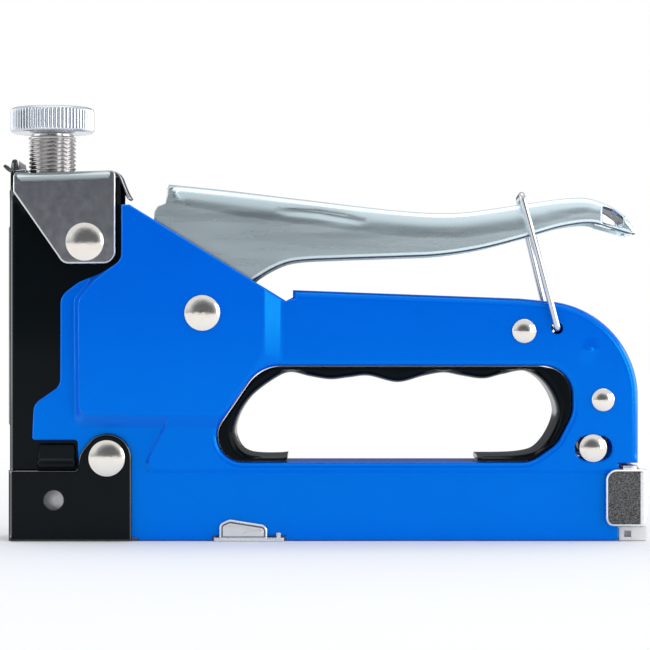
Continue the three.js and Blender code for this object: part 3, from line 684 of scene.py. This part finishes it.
def wire(points, radius, sides=16):
    """Round wire along a line of points, with closed ends."""
    bm = bmesh.new()
    points = [Vector(p) for p in points]
    normal = None
    rings = []
    for i, point in enumerate(points):
        ahead = (points[min(i + 1, len(points) - 1)] - points[max(i - 1, 0)]).normalized()
        if normal is None:
            normal = ahead.orthogonal().normalized()
        normal = (normal - ahead * normal.dot(ahead)).normalized()
        side = ahead.cross(normal)
        angles = [2 * math.pi * k / sides for k in range(sides)]
        rings.append([bm.verts.new(point + (normal * math.cos(a) + side * math.sin(a)) * radius)
                      for a in angles])
    for low, high in zip(rings, rings[1:]):
        for k in range(sides):
            n = (k + 1) % sides
            bm.faces.new((low[k], low[n], high[n], high[k]))
    for ring, point, way in ((rings[0], points[0], -1), (rings[-1], points[-1], 1)):
        bm.faces.new(ring if way > 0 else ring[::-1])
    bmesh.ops.recalc_face_normals(bm, faces=bm.faces)
    return bm


def bent(corners, steps=6):
    """Rounds the corners [x, y, z, radius] of a line in space."""
    points = []
    for i, (*here, radius) in enumerate(corners):
        here = Vector(here)
        if not radius:
            points.append(here)
            continue
        back = Vector(corners[i - 1][:3]) - here
        ahead = Vector(corners[i + 1][:3]) - here
        start = here + back.normalized() * radius
        end = here + ahead.normalized() * radius
        for k in range(steps + 1):
            t = k / steps
            points.append(start * (1 - t) ** 2 + here * 2 * t * (1 - t) + end * t * t)
    return points


def cut_by(bm, tool):
    """Cuts one closed solid out of another."""
    obj = in_scene("tool", tool)
    made = modified(bm, ("BOOLEAN", {"operation": "DIFFERENCE", "object": obj, "solver": "EXACT"}))
    discard(obj)
    return made


# ------------------------------------------------------------------ body shells

GRIP_EDGE = [(157.6, 19.4), (157.6, 33), *arc(133.5, 35.6, 24.1, 4, 86, 20), (128.1, 60.3), (71.6, 62.4)]
FRONT_CORNERS = [
    [29, 83.6], [29, 69.6, 3.5], [24.3, 66.8, 8], [18.3, 64.5, 6], [13.7, 61, 4], [13.6, 38.6, 3],
    [7, 34, 3.5], [6.6, 25, 0.8], [18, 25, 0.8], [18, 0.6], [33, 0.6], [33, 0], [51.6, 0], [51.6, 1.1],
    [69.8, 1.1], [69.8, 0], [152.7, 0], [152.7, 19.2, 0.6],
]
FINGER_OPENING = rounded([
    [63.3, 43.5, 10], [46.9, 19.6, 6.5], [130.8, 19.6, 7], [137.4, 24.2, 7], [141.2, 31.6, 7],
    [141.2, 43.5, 7.3]], 6)
HALF_MARGIN, HALF_GRIP, HALF_PLATEAU, HALF_COVER = 8.5, 9.5, 11.5, 9.8
RIVET_HEADS = {  # head radius, and half thickness of the sheet that it sits on
    "cap_rivet": (4.7, HALF_COVER), "pivot_rivet": (4.4, HALF_PLATEAU), "nose_rivet": (4.5, HALF_COVER),
    "grip_rivet": (2.95, HALF_GRIP), "rear_rivet": (2.8, HALF_GRIP), "catch_pin": (3.4, HALF_GRIP),
}
RIVET_AT = {name: (round(centre(name).x, 1), round(centre(name).z, 1)) for name in RIVET_HEADS}
joint_at = {j["name"]: j.get("pos_m") for j in frame["joints"]}
BAIL_PIVOT = (joint_at["bail_swing"][0] * 1000 - FRONT_X, joint_at["bail_swing"][2] * 1000)


def rivet_hole(name, radius=2.8, steps=20):
    return Edge(circle(*RIVET_AT[name], radius, steps), 0.1, hole=True, rows=1)


class Zone:
    """Raised part of the sheet, with a straight slope between its low and high outlines."""

    ROUND = 0.22

    def __init__(self, low, high):
        self.low = np.array(rounded(low, 30), float)
        self.high = np.array(rounded(high, 30), float)
        if len(self.low) != len(self.high):
            raise ValueError("a zone's outlines have unequal corners")

    def lines(self):
        shares = (-0.05, 0, 0.11, 0.22, 0.5, 0.78, 0.89, 1, 1.05)
        return [(self.low + (self.high - self.low) * s, True) for s in shares]

    def share(self, points):
        far = nearest(points, self.low)[0]
        near = nearest(points, self.high)[0]
        t = np.where(within(points, self.low), far / np.maximum(far + near, 1e-9), 0)
        t = np.where(within(points, self.high), 1, t)
        e = self.ROUND
        k = 2 * e * (1 - e)
        return np.where(t < e, t * t / k, np.where(t > 1 - e, 1 - (1 - t) ** 2 / k, (t - e / 2) / (1 - e)))


SLOPE_LOW, SLOPE_HIGH = 16.4, 18.1  # between the set-back margin and the grip
GRIP_ZONE = Zone(
    [[33.2, SLOPE_LOW, 2], [190, SLOPE_LOW, 2], [190, 120, 2], [64, 120, 2], [40, 30, 2]],
    [[34.6, SLOPE_HIGH, 2], [189, SLOPE_HIGH, 2], [189, 119, 2], [64.8, 119, 2], [41, 30, 2]])
PLATEAU_ZONE = Zone(
    [[17, 27.6, 2], [17, 60.3, 3], [21.3, 65.6, 3], [27.8, 71, 2], [27.8, 99, 2], [69.4, 99, 2],
     [69.4, 44.4, 3], [58, 27.6, 3]],
    [[18.7, 32, 2], [18.7, 59.8, 3], [22.4, 64.4, 3], [29.5, 70, 2], [29.5, 98, 2], [63.9, 98, 2],
     [63.9, 46.2, 3], [54.2, 32, 3]])


PIMPLE_AT = (145.5, 47.5)


def shell_level(points):
    grip = HALF_MARGIN + (HALF_GRIP - HALF_MARGIN) * GRIP_ZONE.share(points)
    level = grip + (HALF_PLATEAU - grip) * PLATEAU_ZONE.share(points)
    away = np.hypot(*(points - PIMPLE_AT).T)
    return level + 0.35 * np.exp(-(away / 0.7) ** 2)


def body_shell():
    front = rounded(FRONT_CORNERS)
    tail = [(71.6, 60.6), (69.9, 59.7), (31.1, 83.6)]
    line = [*front, *GRIP_EDGE, *tail]

    def folded(x, z):
        """The grip's top and rear are folded in to the middle plane."""
        return (x > 157.5 and z > 19.3) or (x > 71.5 and z > 33)

    roll = lambda x, z: 1.9 if folded(x, z) else 0.55
    wall = lambda x, z: 0.15 if folded(x, z) else None
    slot = rounded([[141.8, 20.1, 2.9], [151, 20.1, 2.9], [151, 26.1, 2.9], [141.8, 26.1, 2.9]])
    edges = [
        Edge(line, roll, wall=wall),
        Edge(FINGER_OPENING, 1.3, wall=0.15, hole=True),
        Edge(slot, 0.45, hole=True, rows=3),
        Edge(circle(*BAIL_PIVOT, 1.45, 20), 0.3, hole=True, rows=3),
    ]
    edges += [rivet_hole("pivot_rivet"), rivet_hole("nose_rivet"), rivet_hole("grip_rivet", 2.2),
              rivet_hole("rear_rivet", 2.2)]
    lines = [*GRIP_ZONE.lines(), *PLATEAU_ZONE.lines()]
    lines += [(circle(*PIMPLE_AT, r, 12), True) for r in (0.3, 0.6, 0.9, 1.3)]
    return thickened(pressed(edges, shell_level, lines, step=2.6, wall_steps=3), 1.0)


right = body_shell()
left = mirrored(right)


def shell_finish(face):
    """The slope under the finger opening gets a lighter blue, a painted reflection of the pale ground."""
    x, _, z = face_at(face)
    on_slope = SLOPE_LOW + 0.03 < z < SLOPE_HIGH + 0.03 and x > 36
    return BLUE_PAINTED_REFLECTION if on_slope and abs(face.normal.y) > 0.5 else BLUE


place("right_shell_sheet", right, "right_shell", [BLUE, BLUE_PAINTED_REFLECTION], shell_finish)
place("left_shell_sheet", left, "left_shell", [BLUE, BLUE_PAINTED_REFLECTION], shell_finish)


# ------------------------------------------------------------------ nose

def channel_level(points):
    rise = np.clip((points[:, 1] - 84.5) / 4.5, 0, 1)
    return 7.2 + 1.2 * rise * rise * (3 - 2 * rise)


def front_rib(co):
    """Presses the long rib and the small nub out of the front wall."""
    if co.x > 1.4:
        return co
    across = clamp(3.1 - abs(co.y))
    along = clamp((co.z - 27.4) / 1.5, (79.6 - co.z) / 1.5)
    nub = clamp((3.8 - abs(co.y)) / 0.8) * clamp((co.z - 6.2) / 0.8, (10.6 - co.z) / 0.8)
    smooth = lambda t: t * t * (3 - 2 * t)
    return Vector((co.x - 0.8 * smooth(across) * smooth(along) - 0.6 * smooth(nub), co.y, co.z))


def nose_channel():
    line = rounded([[0.8, 16], [18.8, 16], [20, 25, 2], [20, 60, 4], [28.6, 66], [28.6, 90.6, 1],
                    [3.2, 90.6, 1.2], [0.8, 87]])
    front = lambda x, z: x < 0.85
    bends = lambda x, z: 1.4 if front(x, z) else 0.2
    walls = lambda x, z: 0.0 if front(x, z) else None
    upper = pressed([Edge(line, bends, wall=walls, rows=4, pitch=1.0), rivet_hole("cap_rivet")],
                    channel_level, step=3.0, wall_steps=10, shift=front_rib)
    plate = [(31.5, 0), *arc(*RIVET_AT["nose_rivet"], 6.1, 0, 128, 20), *rounded(
        [[21.6, 25.4], [18.7, 21.9, 5], [17.8, 17.6, 0.6], [0.8, 17.6]])[1:-1]]
    line = [*plate, (0.8, 17.6), (0.8, 0)]
    bends = lambda x, z: 1.6 if front(x, z) else 0.6
    foot = pressed([Edge(line, bends, wall=walls, rows=4, pitch=1.0),
                    Edge(circle(12.2, 10.2, 2.4, 32), 0.3, hole=True, rows=3),
                    rivet_hole("nose_rivet")],
                   HALF_COVER, step=3.0, wall_steps=10, shift=front_rib)
    return joined(*(thickened(both_sides(half), 0.95) for half in (upper, foot)))


def louver():
    """Hooded vent: slants inwards to its top, with a bulging lip below."""
    heights = ([18.0, 18.25, 18.7, 19.3, 19.9, 20.3, 20.6, 21.5, 22.8, 24.0, 24.4],
               [9.1, 9.8, 10.25, 10.4, 10.25, 9.8, 9.55, 9.1, 8.3, 7.5, 7.1])

    def level(points):
        ends = np.minimum(points[:, 0] - 8.0, 17.7 - points[:, 0])
        return np.interp(points[:, 1], *heights) - 0.5 * np.exp(-(np.maximum(ends, 0) / 0.35) ** 2)

    outline = rounded([[7.9, 18.0, 0.6], [17.8, 18.0, 0.6], [17.3, 24.4, 0.8], [8.4, 24.4, 0.8]], 20)
    lines = [([(7, z), (19, z)], False) for z in heights[0][1:-1]]
    lines += [([(x, 17), (x, 26)], False) for x in (8.3, 8.6, 17.1, 17.4)]
    half = pressed([Edge(outline, 0.35, wall=6.4, rows=3)], level, lines, step=1.5)
    return both_sides(half, weld=0)


def top_tab():
    ring = [(5 * math.cos(a), 90.5 + 5 * math.sin(a)) for a in np.linspace(0, math.pi, 28)]
    outline = [*ring, (-5, 86.5), (5, 86.5)]
    return prism(outline, 0.8, 1.8, "X", 0.25, 3)


def tab_wing():
    """Small bare ear behind the top tab."""
    return prism([(1.9, 92.4), (3.9, 92.4), (3.7, 94.2), (1.9, 95.4)], 2.6, 3.4, "Y", 0.15)


def nose_finish(face):
    """The ear is bare; the rolled edges of the foot's plate and the bend at the front get a glossier black that
    shines, its slightly lighter colour a painted highlight.
    """
    x, y, z = face_at(face)
    if z > 92.4 and x > 1.85:
        return ZINC
    rolled = 0.3 < abs(face.normal.y) < 0.93
    on_louver = 7 < x < 18.3 and z > 17.9
    foot_rim = y > 8.5 and z < 27 and x > 3 and not on_louver
    front_bend = abs(face.normal.y) > 0.6 and x < 2.6
    return BLACK_EDGE if rolled and (foot_rim or front_bend) else BLACK


place("nose_channel", joined(nose_channel(), louver(), top_tab(), tab_wing()), "front_channel",
      [BLACK, BLACK_EDGE, ZINC], nose_finish)


# ------------------------------------------------------------------ cap

CAP_LOW, CAP_HIGH = 91.5, 92.3  # its top rises a little to the rear


def strip(path, half, thickness, bevel=0.25):
    """Bent strip of sheet along [x, z] points, its outer face on the line's left."""
    path = np.array(path, float)
    ahead = np.gradient(path, axis=0)
    ahead /= np.linalg.norm(ahead, axis=1)[:, None]
    normal = np.stack((ahead[:, 1], -ahead[:, 0]), 1)
    outline = [*map(tuple, path), *map(tuple, (path + normal * thickness)[::-1])]
    return prism(outline, -half, half, "Y", bevel, 2)


def cap_sheet():
    line = rounded([[2.1, 86.8, 1], [14.5, 68.9, 2.5], [27.5, 68.9, 2.8], [27.5, CAP_HIGH, 1.3],
                    [2.1, CAP_LOW]])
    top = lambda x, z: z > CAP_LOW + (x - 2.1) * (CAP_HIGH - CAP_LOW) / 25.4 - 0.03
    roll = lambda x, z: 2.3 if top(x, z) else 0.42
    wall = lambda x, z: 0.0 if top(x, z) else None
    half = pressed([Edge(line, roll, wall=wall, pitch=0.8), rivet_hole("cap_rivet")], HALF_COVER,
                   step=3.0, wall_steps=8)
    whole = thickened(both_sides(half), 1.0)
    hole = turned([(0, 80), (6.3, 80), (6.3, 100), (0, 100)], 48, (10.8, 0, 0))
    return cut_by(whole, hole)


front_path = spline([(4.5, 92.05), (2.6, 91.85), (1.1, 91.8), (-0.2, 92.4), (-1.4, 93.6)], 14)
front_tongue = strip(front_path, 3, 0.85)
rear_path = spline([(26, 92.25), (27.4, 92.1), (28.4, 91.0), (29.2, 89.0), (30.1, 86.9), (31.0, 85.4)], 18)
rear_tongue = strip(rear_path[::-1], 4.4, -0.8)
notch = box((28.9, 32), (-1.5, 1.5), (83, 87.9), 0)
rear_tongue = cut_by(rear_tongue, notch)
cap_parts = joined(cap_sheet(), front_tongue, rear_tongue)


def cap_finish(face):
    """The cut edge is brighter than the plated face, the top bend is duller and painted darker as painted shade
    over its reflection of the bright top, the front tongue dark.
    """
    x, y, z = face_at(face)
    if x < 1.6:
        return BLACK_EDGE
    if z > 88.5 and y > 7 and face.normal.z > 0.12:
        return CHROME_BEND_PAINTED_SHADE
    cut_edge = HALF_COVER - 0.95 < y < HALF_COVER - 0.03 and z < 89.5
    return CHROME_EDGE_AND_RIM_HIGHLIGHT if cut_edge and abs(face.normal.y) < 0.8 else CHROME


place("cap_sheet", cap_parts, "top_cap", [CHROME, CHROME_EDGE_AND_RIM_HIGHLIGHT, BLACK_EDGE, CHROME_BEND_PAINTED_SHADE], cap_finish)


# ------------------------------------------------------------------ tension screw and knob

SCREW_AT = (centre("tension_knob").x, 0, 0)
KNOB_BOTTOM, KNOB_TOP, KNOB_RADIUS = 102.0, 108.4, 10.5
THREAD_TOP = KNOB_BOTTOM - 1.1


def thread(r, h, angle):
    if r < 5.5 or h > THREAD_TOP:
        return r
    turn = (h - angle / (2 * math.pi)) % 1.0
    depth = abs(turn - 0.5) * 2
    fade = clamp((THREAD_TOP - h) / 0.8)
    return r - 0.62 * (1 - depth ** 0.8) * fade


low = limits("tension_screw")[0].z
rows = np.arange(low + 0.8, THREAD_TOP, 1 / 12)
profile = [(0, low), (5.2, low), *((6.0, h) for h in rows), (5.9, THREAD_TOP + 0.05), (5.3, THREAD_TOP + 0.3),
           (5.3, KNOB_BOTTOM - 0.3), (0, KNOB_BOTTOM - 0.3)]
place("threaded_screw", turned(profile, 72, SCREW_AT, radius=thread), "tension_screw", [THREAD], sharp=60)

TEETH = 66


def knurl(r, h, angle):
    if r < KNOB_RADIUS - 1.2:
        return r
    wave = abs(math.sin(angle * TEETH / 2))
    edge = clamp((h - KNOB_BOTTOM - 0.35) / 0.7, (KNOB_TOP - 0.35 - h) / 0.7)
    return r - 0.42 * (1 - wave ** 0.7) * edge


rim = [(KNOB_RADIUS - 1.0 + 1.0 * math.sin(a), KNOB_BOTTOM + 0.9 - 0.9 * math.cos(a))
       for a in np.linspace(0, math.pi / 2, 7)]
crown = [(KNOB_RADIUS - 1.2 + 1.2 * math.cos(a), KNOB_TOP - 1.0 + 1.0 * math.sin(a))
         for a in np.linspace(0, math.pi / 2, 8)]
side = [(KNOB_RADIUS, h) for h in np.linspace(KNOB_BOTTOM + 1.2, KNOB_TOP - 1.3, 5)]
profile = [(0, KNOB_BOTTOM), *rim, *side, *crown, (8.6, KNOB_TOP - 0.02), (8.3, KNOB_TOP - 0.2),
           (0, KNOB_TOP - 0.2)]
place("knurled_knob", turned(profile, TEETH * 8, SCREW_AT, radius=knurl), "tension_knob", [KNURL], sharp=50)


# ------------------------------------------------------------------ handle

HANDLE_HALF = 9.0
HANDLE_TOP = spline([
    (40.6, 88.8), (56, 87.2), (73.4, 85.1), (98.2, 82.2), (113, 81.7), (128.1, 83.7), (138, 85.1),
    (144.2, 85.4), (148, 84.5), (151.5, 82.9), (154.6, 80.5), (156.4, 77.9), (157, 76.4)], 90)
HANDLE_BOTTOM = spline([
    (155.6, 76.2), (150, 77.9), (145.5, 79), (138, 78), (128.1, 75.1), (118.1, 72.6), (108.2, 71.1),
    (98.2, 70.6), (83.3, 70.1), (73.4, 69.6), (68.4, 68.4), (63, 65.4), (59.5, 62)], 70)


def handle_level(points):
    """Flat cheeks with a long dent under the front of the shoulder."""
    line = np.array([(68.0, 82.2), (78.0, 81.4), (89.5, 79.4)])
    gap, index, share = nearest(points, line, closed=False)
    x = points[:, 0]
    fade = np.clip((x - 66) / 10, 0, 1) * np.clip((91 - x) / 6, 0, 1)
    dent = -0.42 * fade * np.exp(-(gap / 0.9) ** 2)
    return HANDLE_HALF + dent


def handle_sheet():
    cheek = [*HANDLE_BOTTOM[1:], *arc(*RIVET_AT["pivot_rivet"], 8, 20, -190, 28), (37, 79), (37.2, 82),
             (38, 83.3), (39.9, 84), (40.4, 86.5)]
    line = [*cheek, *HANDLE_TOP]

    def part(x, z):
        if gap_to(HANDLE_TOP, x, z, closed=False) < 0.01:
            return "web"
        return "hem" if gap_to(HANDLE_BOTTOM, x, z, closed=False) < 0.01 else "cut"

    def by_part(web, hem, cut):
        """A value for each part of the edge; the web's changes along the handle."""
        stations = [40, 60, 95, 130, 148, 157]
        return lambda x, z: {"web": np.interp(x, stations, web), "hem": hem, "cut": cut}[part(x, z)]

    roll = by_part([4.5, 6, 6.2, 6, 3.2, 0.8], 1.0, 0.3)
    drop = by_part([3.0, 3.0, 2.6, 2.4, 2.2, 0.8], 1.0, 0.3)
    wall = by_part([0.0] * 6, HANDLE_HALF - 1.35, None)
    hole = rounded([[148.6, 78.9, 0.6], [153.6, 78.1, 1], [153.9, 80.4, 1], [151.6, 82.4, 0.8],
                    [148.6, 83.5, 0.5]], 15)
    crease = [(68.0, 82.2), (73, 81.9), (78.0, 81.4), (84, 80.6), (89.5, 79.4)]
    lines = [([(x, z + k) for x, z in crease], False) for k in (-1.6, -0.9, -0.45, 0, 0.45, 0.9, 1.6)]
    edges = [Edge(line, roll, drop, wall), Edge(hole, 0.4, hole=True, rows=3),
             rivet_hole("pivot_rivet", 4.3, 24)]
    half = pressed(edges, handle_level, lines, step=2.6, wall_steps=6)
    return thickened(both_sides(half), 0.9)


def handle_finish(face):
    """The folded lower edge and the top of the hanging hole look down and are painted dark as painted shade."""
    return HEM_PAINTED_SHADE if face.normal.z < -0.6 else HANDLE


place("handle_sheet", handle_sheet(), "handle_lever", [HANDLE, HEM_PAINTED_SHADE], handle_finish, sharp=50)


# ------------------------------------------------------------------ bail

BAIL_RADIUS, BAIL_HALF = 0.8, 10.65
low, high = limits("lock_bail")
bar = Vector((low.x + BAIL_RADIUS, 0, high.z - BAIL_RADIUS))
path = []
for sign in (-1, 1):
    side = [
        (BAIL_PIVOT[0], sign * (HALF_GRIP - 1.4), BAIL_PIVOT[1], 0),
        (BAIL_PIVOT[0], sign * BAIL_HALF, BAIL_PIVOT[1], 0.7),
        (bar.x + (1.0 if sign > 0 else 0), sign * BAIL_HALF, bar.z, 1.6),
    ]
    path += side if sign < 0 else side[::-1]
place("wire_bail", wire(bent(path, 8), BAIL_RADIUS, 20), "lock_bail", [CHROME], sharp=60)


# ------------------------------------------------------------------ liner

def liner():
    opening = np.array(FINGER_OPENING[::-1] if area(FINGER_OPENING) < 0 else FINGER_OPENING)
    fitting = offset(opening, np.full(len(opening), 0.3))
    curve = spline([
        (74, 21.5), (61.2, 21.6), (57.4, 25.7), (58, 30.7), (61.4, 36), (67.2, 40.4), (71, 41.9),
        (75.7, 40.9), (80.9, 40.1), (85.7, 40.6), (90.5, 41), (97.7, 39.4), (104.3, 41),
        (109.3, 41.8), (113.9, 41), (119.2, 40.3), (124, 41.4), (129.8, 42.2), (134.8, 38.6),
        (137.4, 31.7), (133.9, 24.2), (128.3, 21.7), (114, 21.4)], 200)
    inside = [(70.3, 21.5), *(p for p in curve if p[1] > 23 or not 70.3 < p[0] < 117.4), (117.4, 21.4)]
    outer = fitting
    if area(outer) < 0:
        outer = outer[::-1]
    # the outer line is opened along its straight bottom, between the two ends of the band
    bottom = outer[:, 1].min()
    start = max(range(len(outer)), key=lambda i: outer[i][0] if outer[i][1] < bottom + 0.02 else -1)
    outer = np.roll(outer, -start, axis=0)
    run = [tuple(p) for p in outer]
    while run and run[-1][1] < bottom + 0.02 and run[-1][0] > 60:
        run.pop()
    band = [(117.6, bottom), *run, (70.1, bottom), *inside]

    def facing(x, z):
        return gap_to(inside, x, z, closed=False) < 0.05

    half = pressed([Edge(band, lambda x, z: 1.9 if facing(x, z) else 0.5,
                         lambda x, z: 3.4 if facing(x, z) else 0.4, 0.0, rows=7, pitch=1.2)],
                   HALF_GRIP - 0.45, step=1.6, wall_steps=3)
    return both_sides(half)


place("liner_band", liner(), "grip_liner", [LINER], sharp=40)


# ------------------------------------------------------------------ rivets

def rivet_profile(head, face, height):
    """Domed heads of a radius, on sheets at the half thickness face, with a shank between."""
    shank = 2.4 if head > 4 else 1.85
    steep = 1.1  # slope of the dome at its rim, in radians
    rise = (height - 0.14) * 0.9
    dome = [(head * math.sin(a) / math.sin(steep),
             face + 0.42 + rise * (math.cos(a) - math.cos(steep)) / (1 - math.cos(steep)))
            for a in np.linspace(0, steep, 14)]
    lip = [(head - 0.02, face + 0.30), (head - 0.25, face + 0.06)]
    half = [*dome, *lip, (shank, face + 0.06)]
    return [*[(r, -h) for r, h in half], *[(r, h) for r, h in half[::-1]]]


for name, (head, face) in RIVET_HEADS.items():
    spot = centre(name)
    height = limits(name)[1].y - face - 0.3
    head_and_shank = turned(rivet_profile(head, face, height), 64, (spot.x, 0, spot.z), "Y")
    place(name + "_domed", head_and_shank, name, [NICKEL], sharp=50)


# ------------------------------------------------------------------ magazine and latch

TAB_OUTLINE = rounded([[53.3, 0.25], [65.3, 0.25], [65.3, 3.9, 1.7], [55.9, 5.4, 1.6], [53.3, 4.3, 1.6]], 10)


def folded_tab():
    """Tab that clamps the bottom edge of the shell, with its foot and a small post."""
    tab = pressed([Edge(TAB_OUTLINE, 0.45, wall=8.8, rows=4, pitch=0.5, bead=(0.72, 0.2, -0.15))],
                  9.7, step=1.2)
    foot = box((52, 69.4), (6.6, 9.6), (0, 0.8), 0.2)
    post = box((67.5, 68.6), (8.8, 9.7), (0.2, 2.1), 0.25)
    return both_sides(joined(tab, foot, post), weld=0)


GUIDE_HALF, GUIDE_TOP = 6.75, 16.7
section = [
    (-GUIDE_HALF, 0), (-GUIDE_HALF + 0.8, 0), (-GUIDE_HALF + 0.8, GUIDE_TOP - 0.8),
    (GUIDE_HALF - 0.8, GUIDE_TOP - 0.8), (GUIDE_HALF - 0.8, 0), (GUIDE_HALF, 0),
    (GUIDE_HALF, GUIDE_TOP), (-GUIDE_HALF, GUIDE_TOP)]
guide = prism(section, 3.6, 147.8, "X", 0.25)


def guide_finish(face):
    """Each tab's rounded rim gets bright plating as a painted highlight, and the groove inside it dark steel as
    painted shade.
    """
    x, y, z = face_at(face)
    if y < 9.1 or not 53.3 < x < 65.3:
        return TAB_STEEL
    gap = gap_to(TAB_OUTLINE, x, z)
    if gap < 0.5:
        return CHROME_EDGE_AND_RIM_HIGHLIGHT
    return DARK_STEEL_AND_GROOVE_SHADE if gap < 0.92 and z > 0.9 else TAB_STEEL


place("staple_guide", joined(guide, folded_tab()), "staple_channel", [TAB_STEEL, CHROME_EDGE_AND_RIM_HIGHLIGHT, DARK_STEEL_AND_GROOVE_SHADE],
      guide_finish)


LATCH_BEND = 157.9


def latch_sheet():
    line = rounded([[149.3, 3.7, 2], [159.2, 3.7, 1], [160, 6.2, 0.8], [160, 17.9, 1], [149.3, 17.9, 2.8]])
    back = lambda x, z: x > 159.95 and 6.6 < z < 17
    wall = lambda x, z: 0.0 if back(x, z) else 9.85 if x < LATCH_BEND else 8.9

    def level(points):
        """The cheek curves in towards the latch's back."""
        t = np.clip((points[:, 0] - LATCH_BEND) / 2.2, 0, 0.95)
        return 10.6 - 0.8 * (1 - np.sqrt(1 - t ** 2))

    bends = [([(x, 2), (x, 19)], False) for x in (LATCH_BEND, LATCH_BEND + 0.7, LATCH_BEND + 1.3)]
    half = pressed([Edge(line, 0.75, wall=wall, pitch=0.6)], level, bends, step=1.8, wall_steps=4)
    cheeks = thickened(both_sides(half), 0.8)
    lip = box((153.6, 157.0), (-9.9, 9.9), (17.5, 18.8), 0.3)
    return joined(cheeks, lip)


def latch_finish(face):
    """The flat cheeks are gritty."""
    x, y, _ = face_at(face)
    gritty = y > 10.55 and x < LATCH_BEND and abs(face.normal.y) > 0.97
    return GRIT if gritty else CHROME_EDGE_AND_RIM_HIGHLIGHT


place("latch_sheet", latch_sheet(), "magazine_latch", [GRIT, CHROME_EDGE_AND_RIM_HIGHLIGHT], latch_finish)


# ------------------------------------------------------------------ springs

def coil_points(x, y, z, radius, length, turns, axis, steps=24):
    points = []
    for k in range(int(turns * steps) + 1):
        a = 2 * math.pi * k / steps
        along = length * k / (turns * steps)
        c, s = radius * math.cos(a), radius * math.sin(a)
        points.append({"Z": (x + c, y + s, z + along), "Y": (x + c, y + along, z + s),
                       "X": (x + along, y + c, z + s)}[axis])
    return points


def spring(name, path, radius, node, sides):
    """Spring wire along a path of points in mm, standing for its node and riding on no body."""
    piece = place(name, wire(path, radius, sides), node, [SPRING], rides=False)
    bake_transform(piece)


low, high = limits("main_spring")
run = coil_points(SCREW_AT[0], 0, low.z + 1.1, 4.7, high.z - low.z - 2.2, 8, "Z")
half = len(run) // 2
spring("main_coil_lower", run[:half + 1], 1.1, "main_spring", 12)
spring("main_coil_upper", run[half:], 1.1, "main_spring", 12)
low, high = limits("pusher_spring")
run = coil_points(low.x + 0.35, 0, 7, 2.4, high.x - low.x - 0.7, 30, "X")
spring("pusher_coil", run, 0.35, "pusher_spring", 8)
x, z = RIVET_AT["pivot_rivet"]
run = coil_points(x, 3.3, z, 5.3, 3.4, 2, "Y")
path = [(54.0, 3.3, 45.5), (54.4, 3.3, 51), *run, (55.6, 6.7, 64), (58.6, 6.7, 74), (62, 6.7, 84)]
spring("handle_coil", path, 0.8, "handle_spring", 12)
x, z = RIVET_AT["rear_rivet"]
run = coil_points(x, -1.5, z, 3.9, 3, 2, "Y")
path = [(149.1, -1, 21.2), (152.4, -1.2, 30.6), *run]
spring("catch_coil", path, 0.5, "catch_spring", 12)


# ------------------------------------------------------------------ CAD nodes that stay

OWN_FINISH = {"latch_pin": GRIT, "magazine_rail": ZINC}
for name, node in frame["nodes"].items():
    if not node.hide_render:
        node.data.materials.clear()
        node.data.materials.append(OWN_FINISH.get(name, FINISH[SLOT[name]]))


# ------------------------------------------------------------------ floor

def pale_floor():
    """Soft white ground that turns into the even white of the tent away from the gun."""
    made = material("pale_floor", (0.90, 0.90, 0.90), 0.8, spread=0.01, cloud=3, specular=0.1)
    tree = made.node_tree
    out = next(n for n in tree.nodes if n.type == "OUTPUT_MATERIAL")
    lit = out.inputs["Surface"].links[0].from_socket
    size = add_node(tree, "VectorMath", {"operation": "LENGTH"})
    tree.links.new(add_node(tree, "TexCoord").outputs["Object"], size.inputs[0])
    far = ranged(tree, size.outputs["Value"], 0.10, 0.45, kind="SMOOTHSTEP")
    blend = add_node(tree, "MixShader", Fac=far)
    tree.links.new(lit, blend.inputs[1])
    tree.links.new(add_node(tree, "Emission").outputs[0], blend.inputs[2])
    tree.links.new(blend.outputs[0], out.inputs["Surface"])
    return made


floor_mesh = bpy.data.meshes.new("floor")
reach = 6.0
corners = [(-reach, -reach, 0), (reach, -reach, 0), (reach, reach, 0), (-reach, reach, 0)]
floor_mesh.from_pydata(corners, [], [(0, 1, 2, 3)])
floor = bpy.data.objects.new("floor", floor_mesh)
floor.location.z = -0.0001
floor_mesh.materials.append(pale_floor())
SCENE.collection.objects.link(floor)
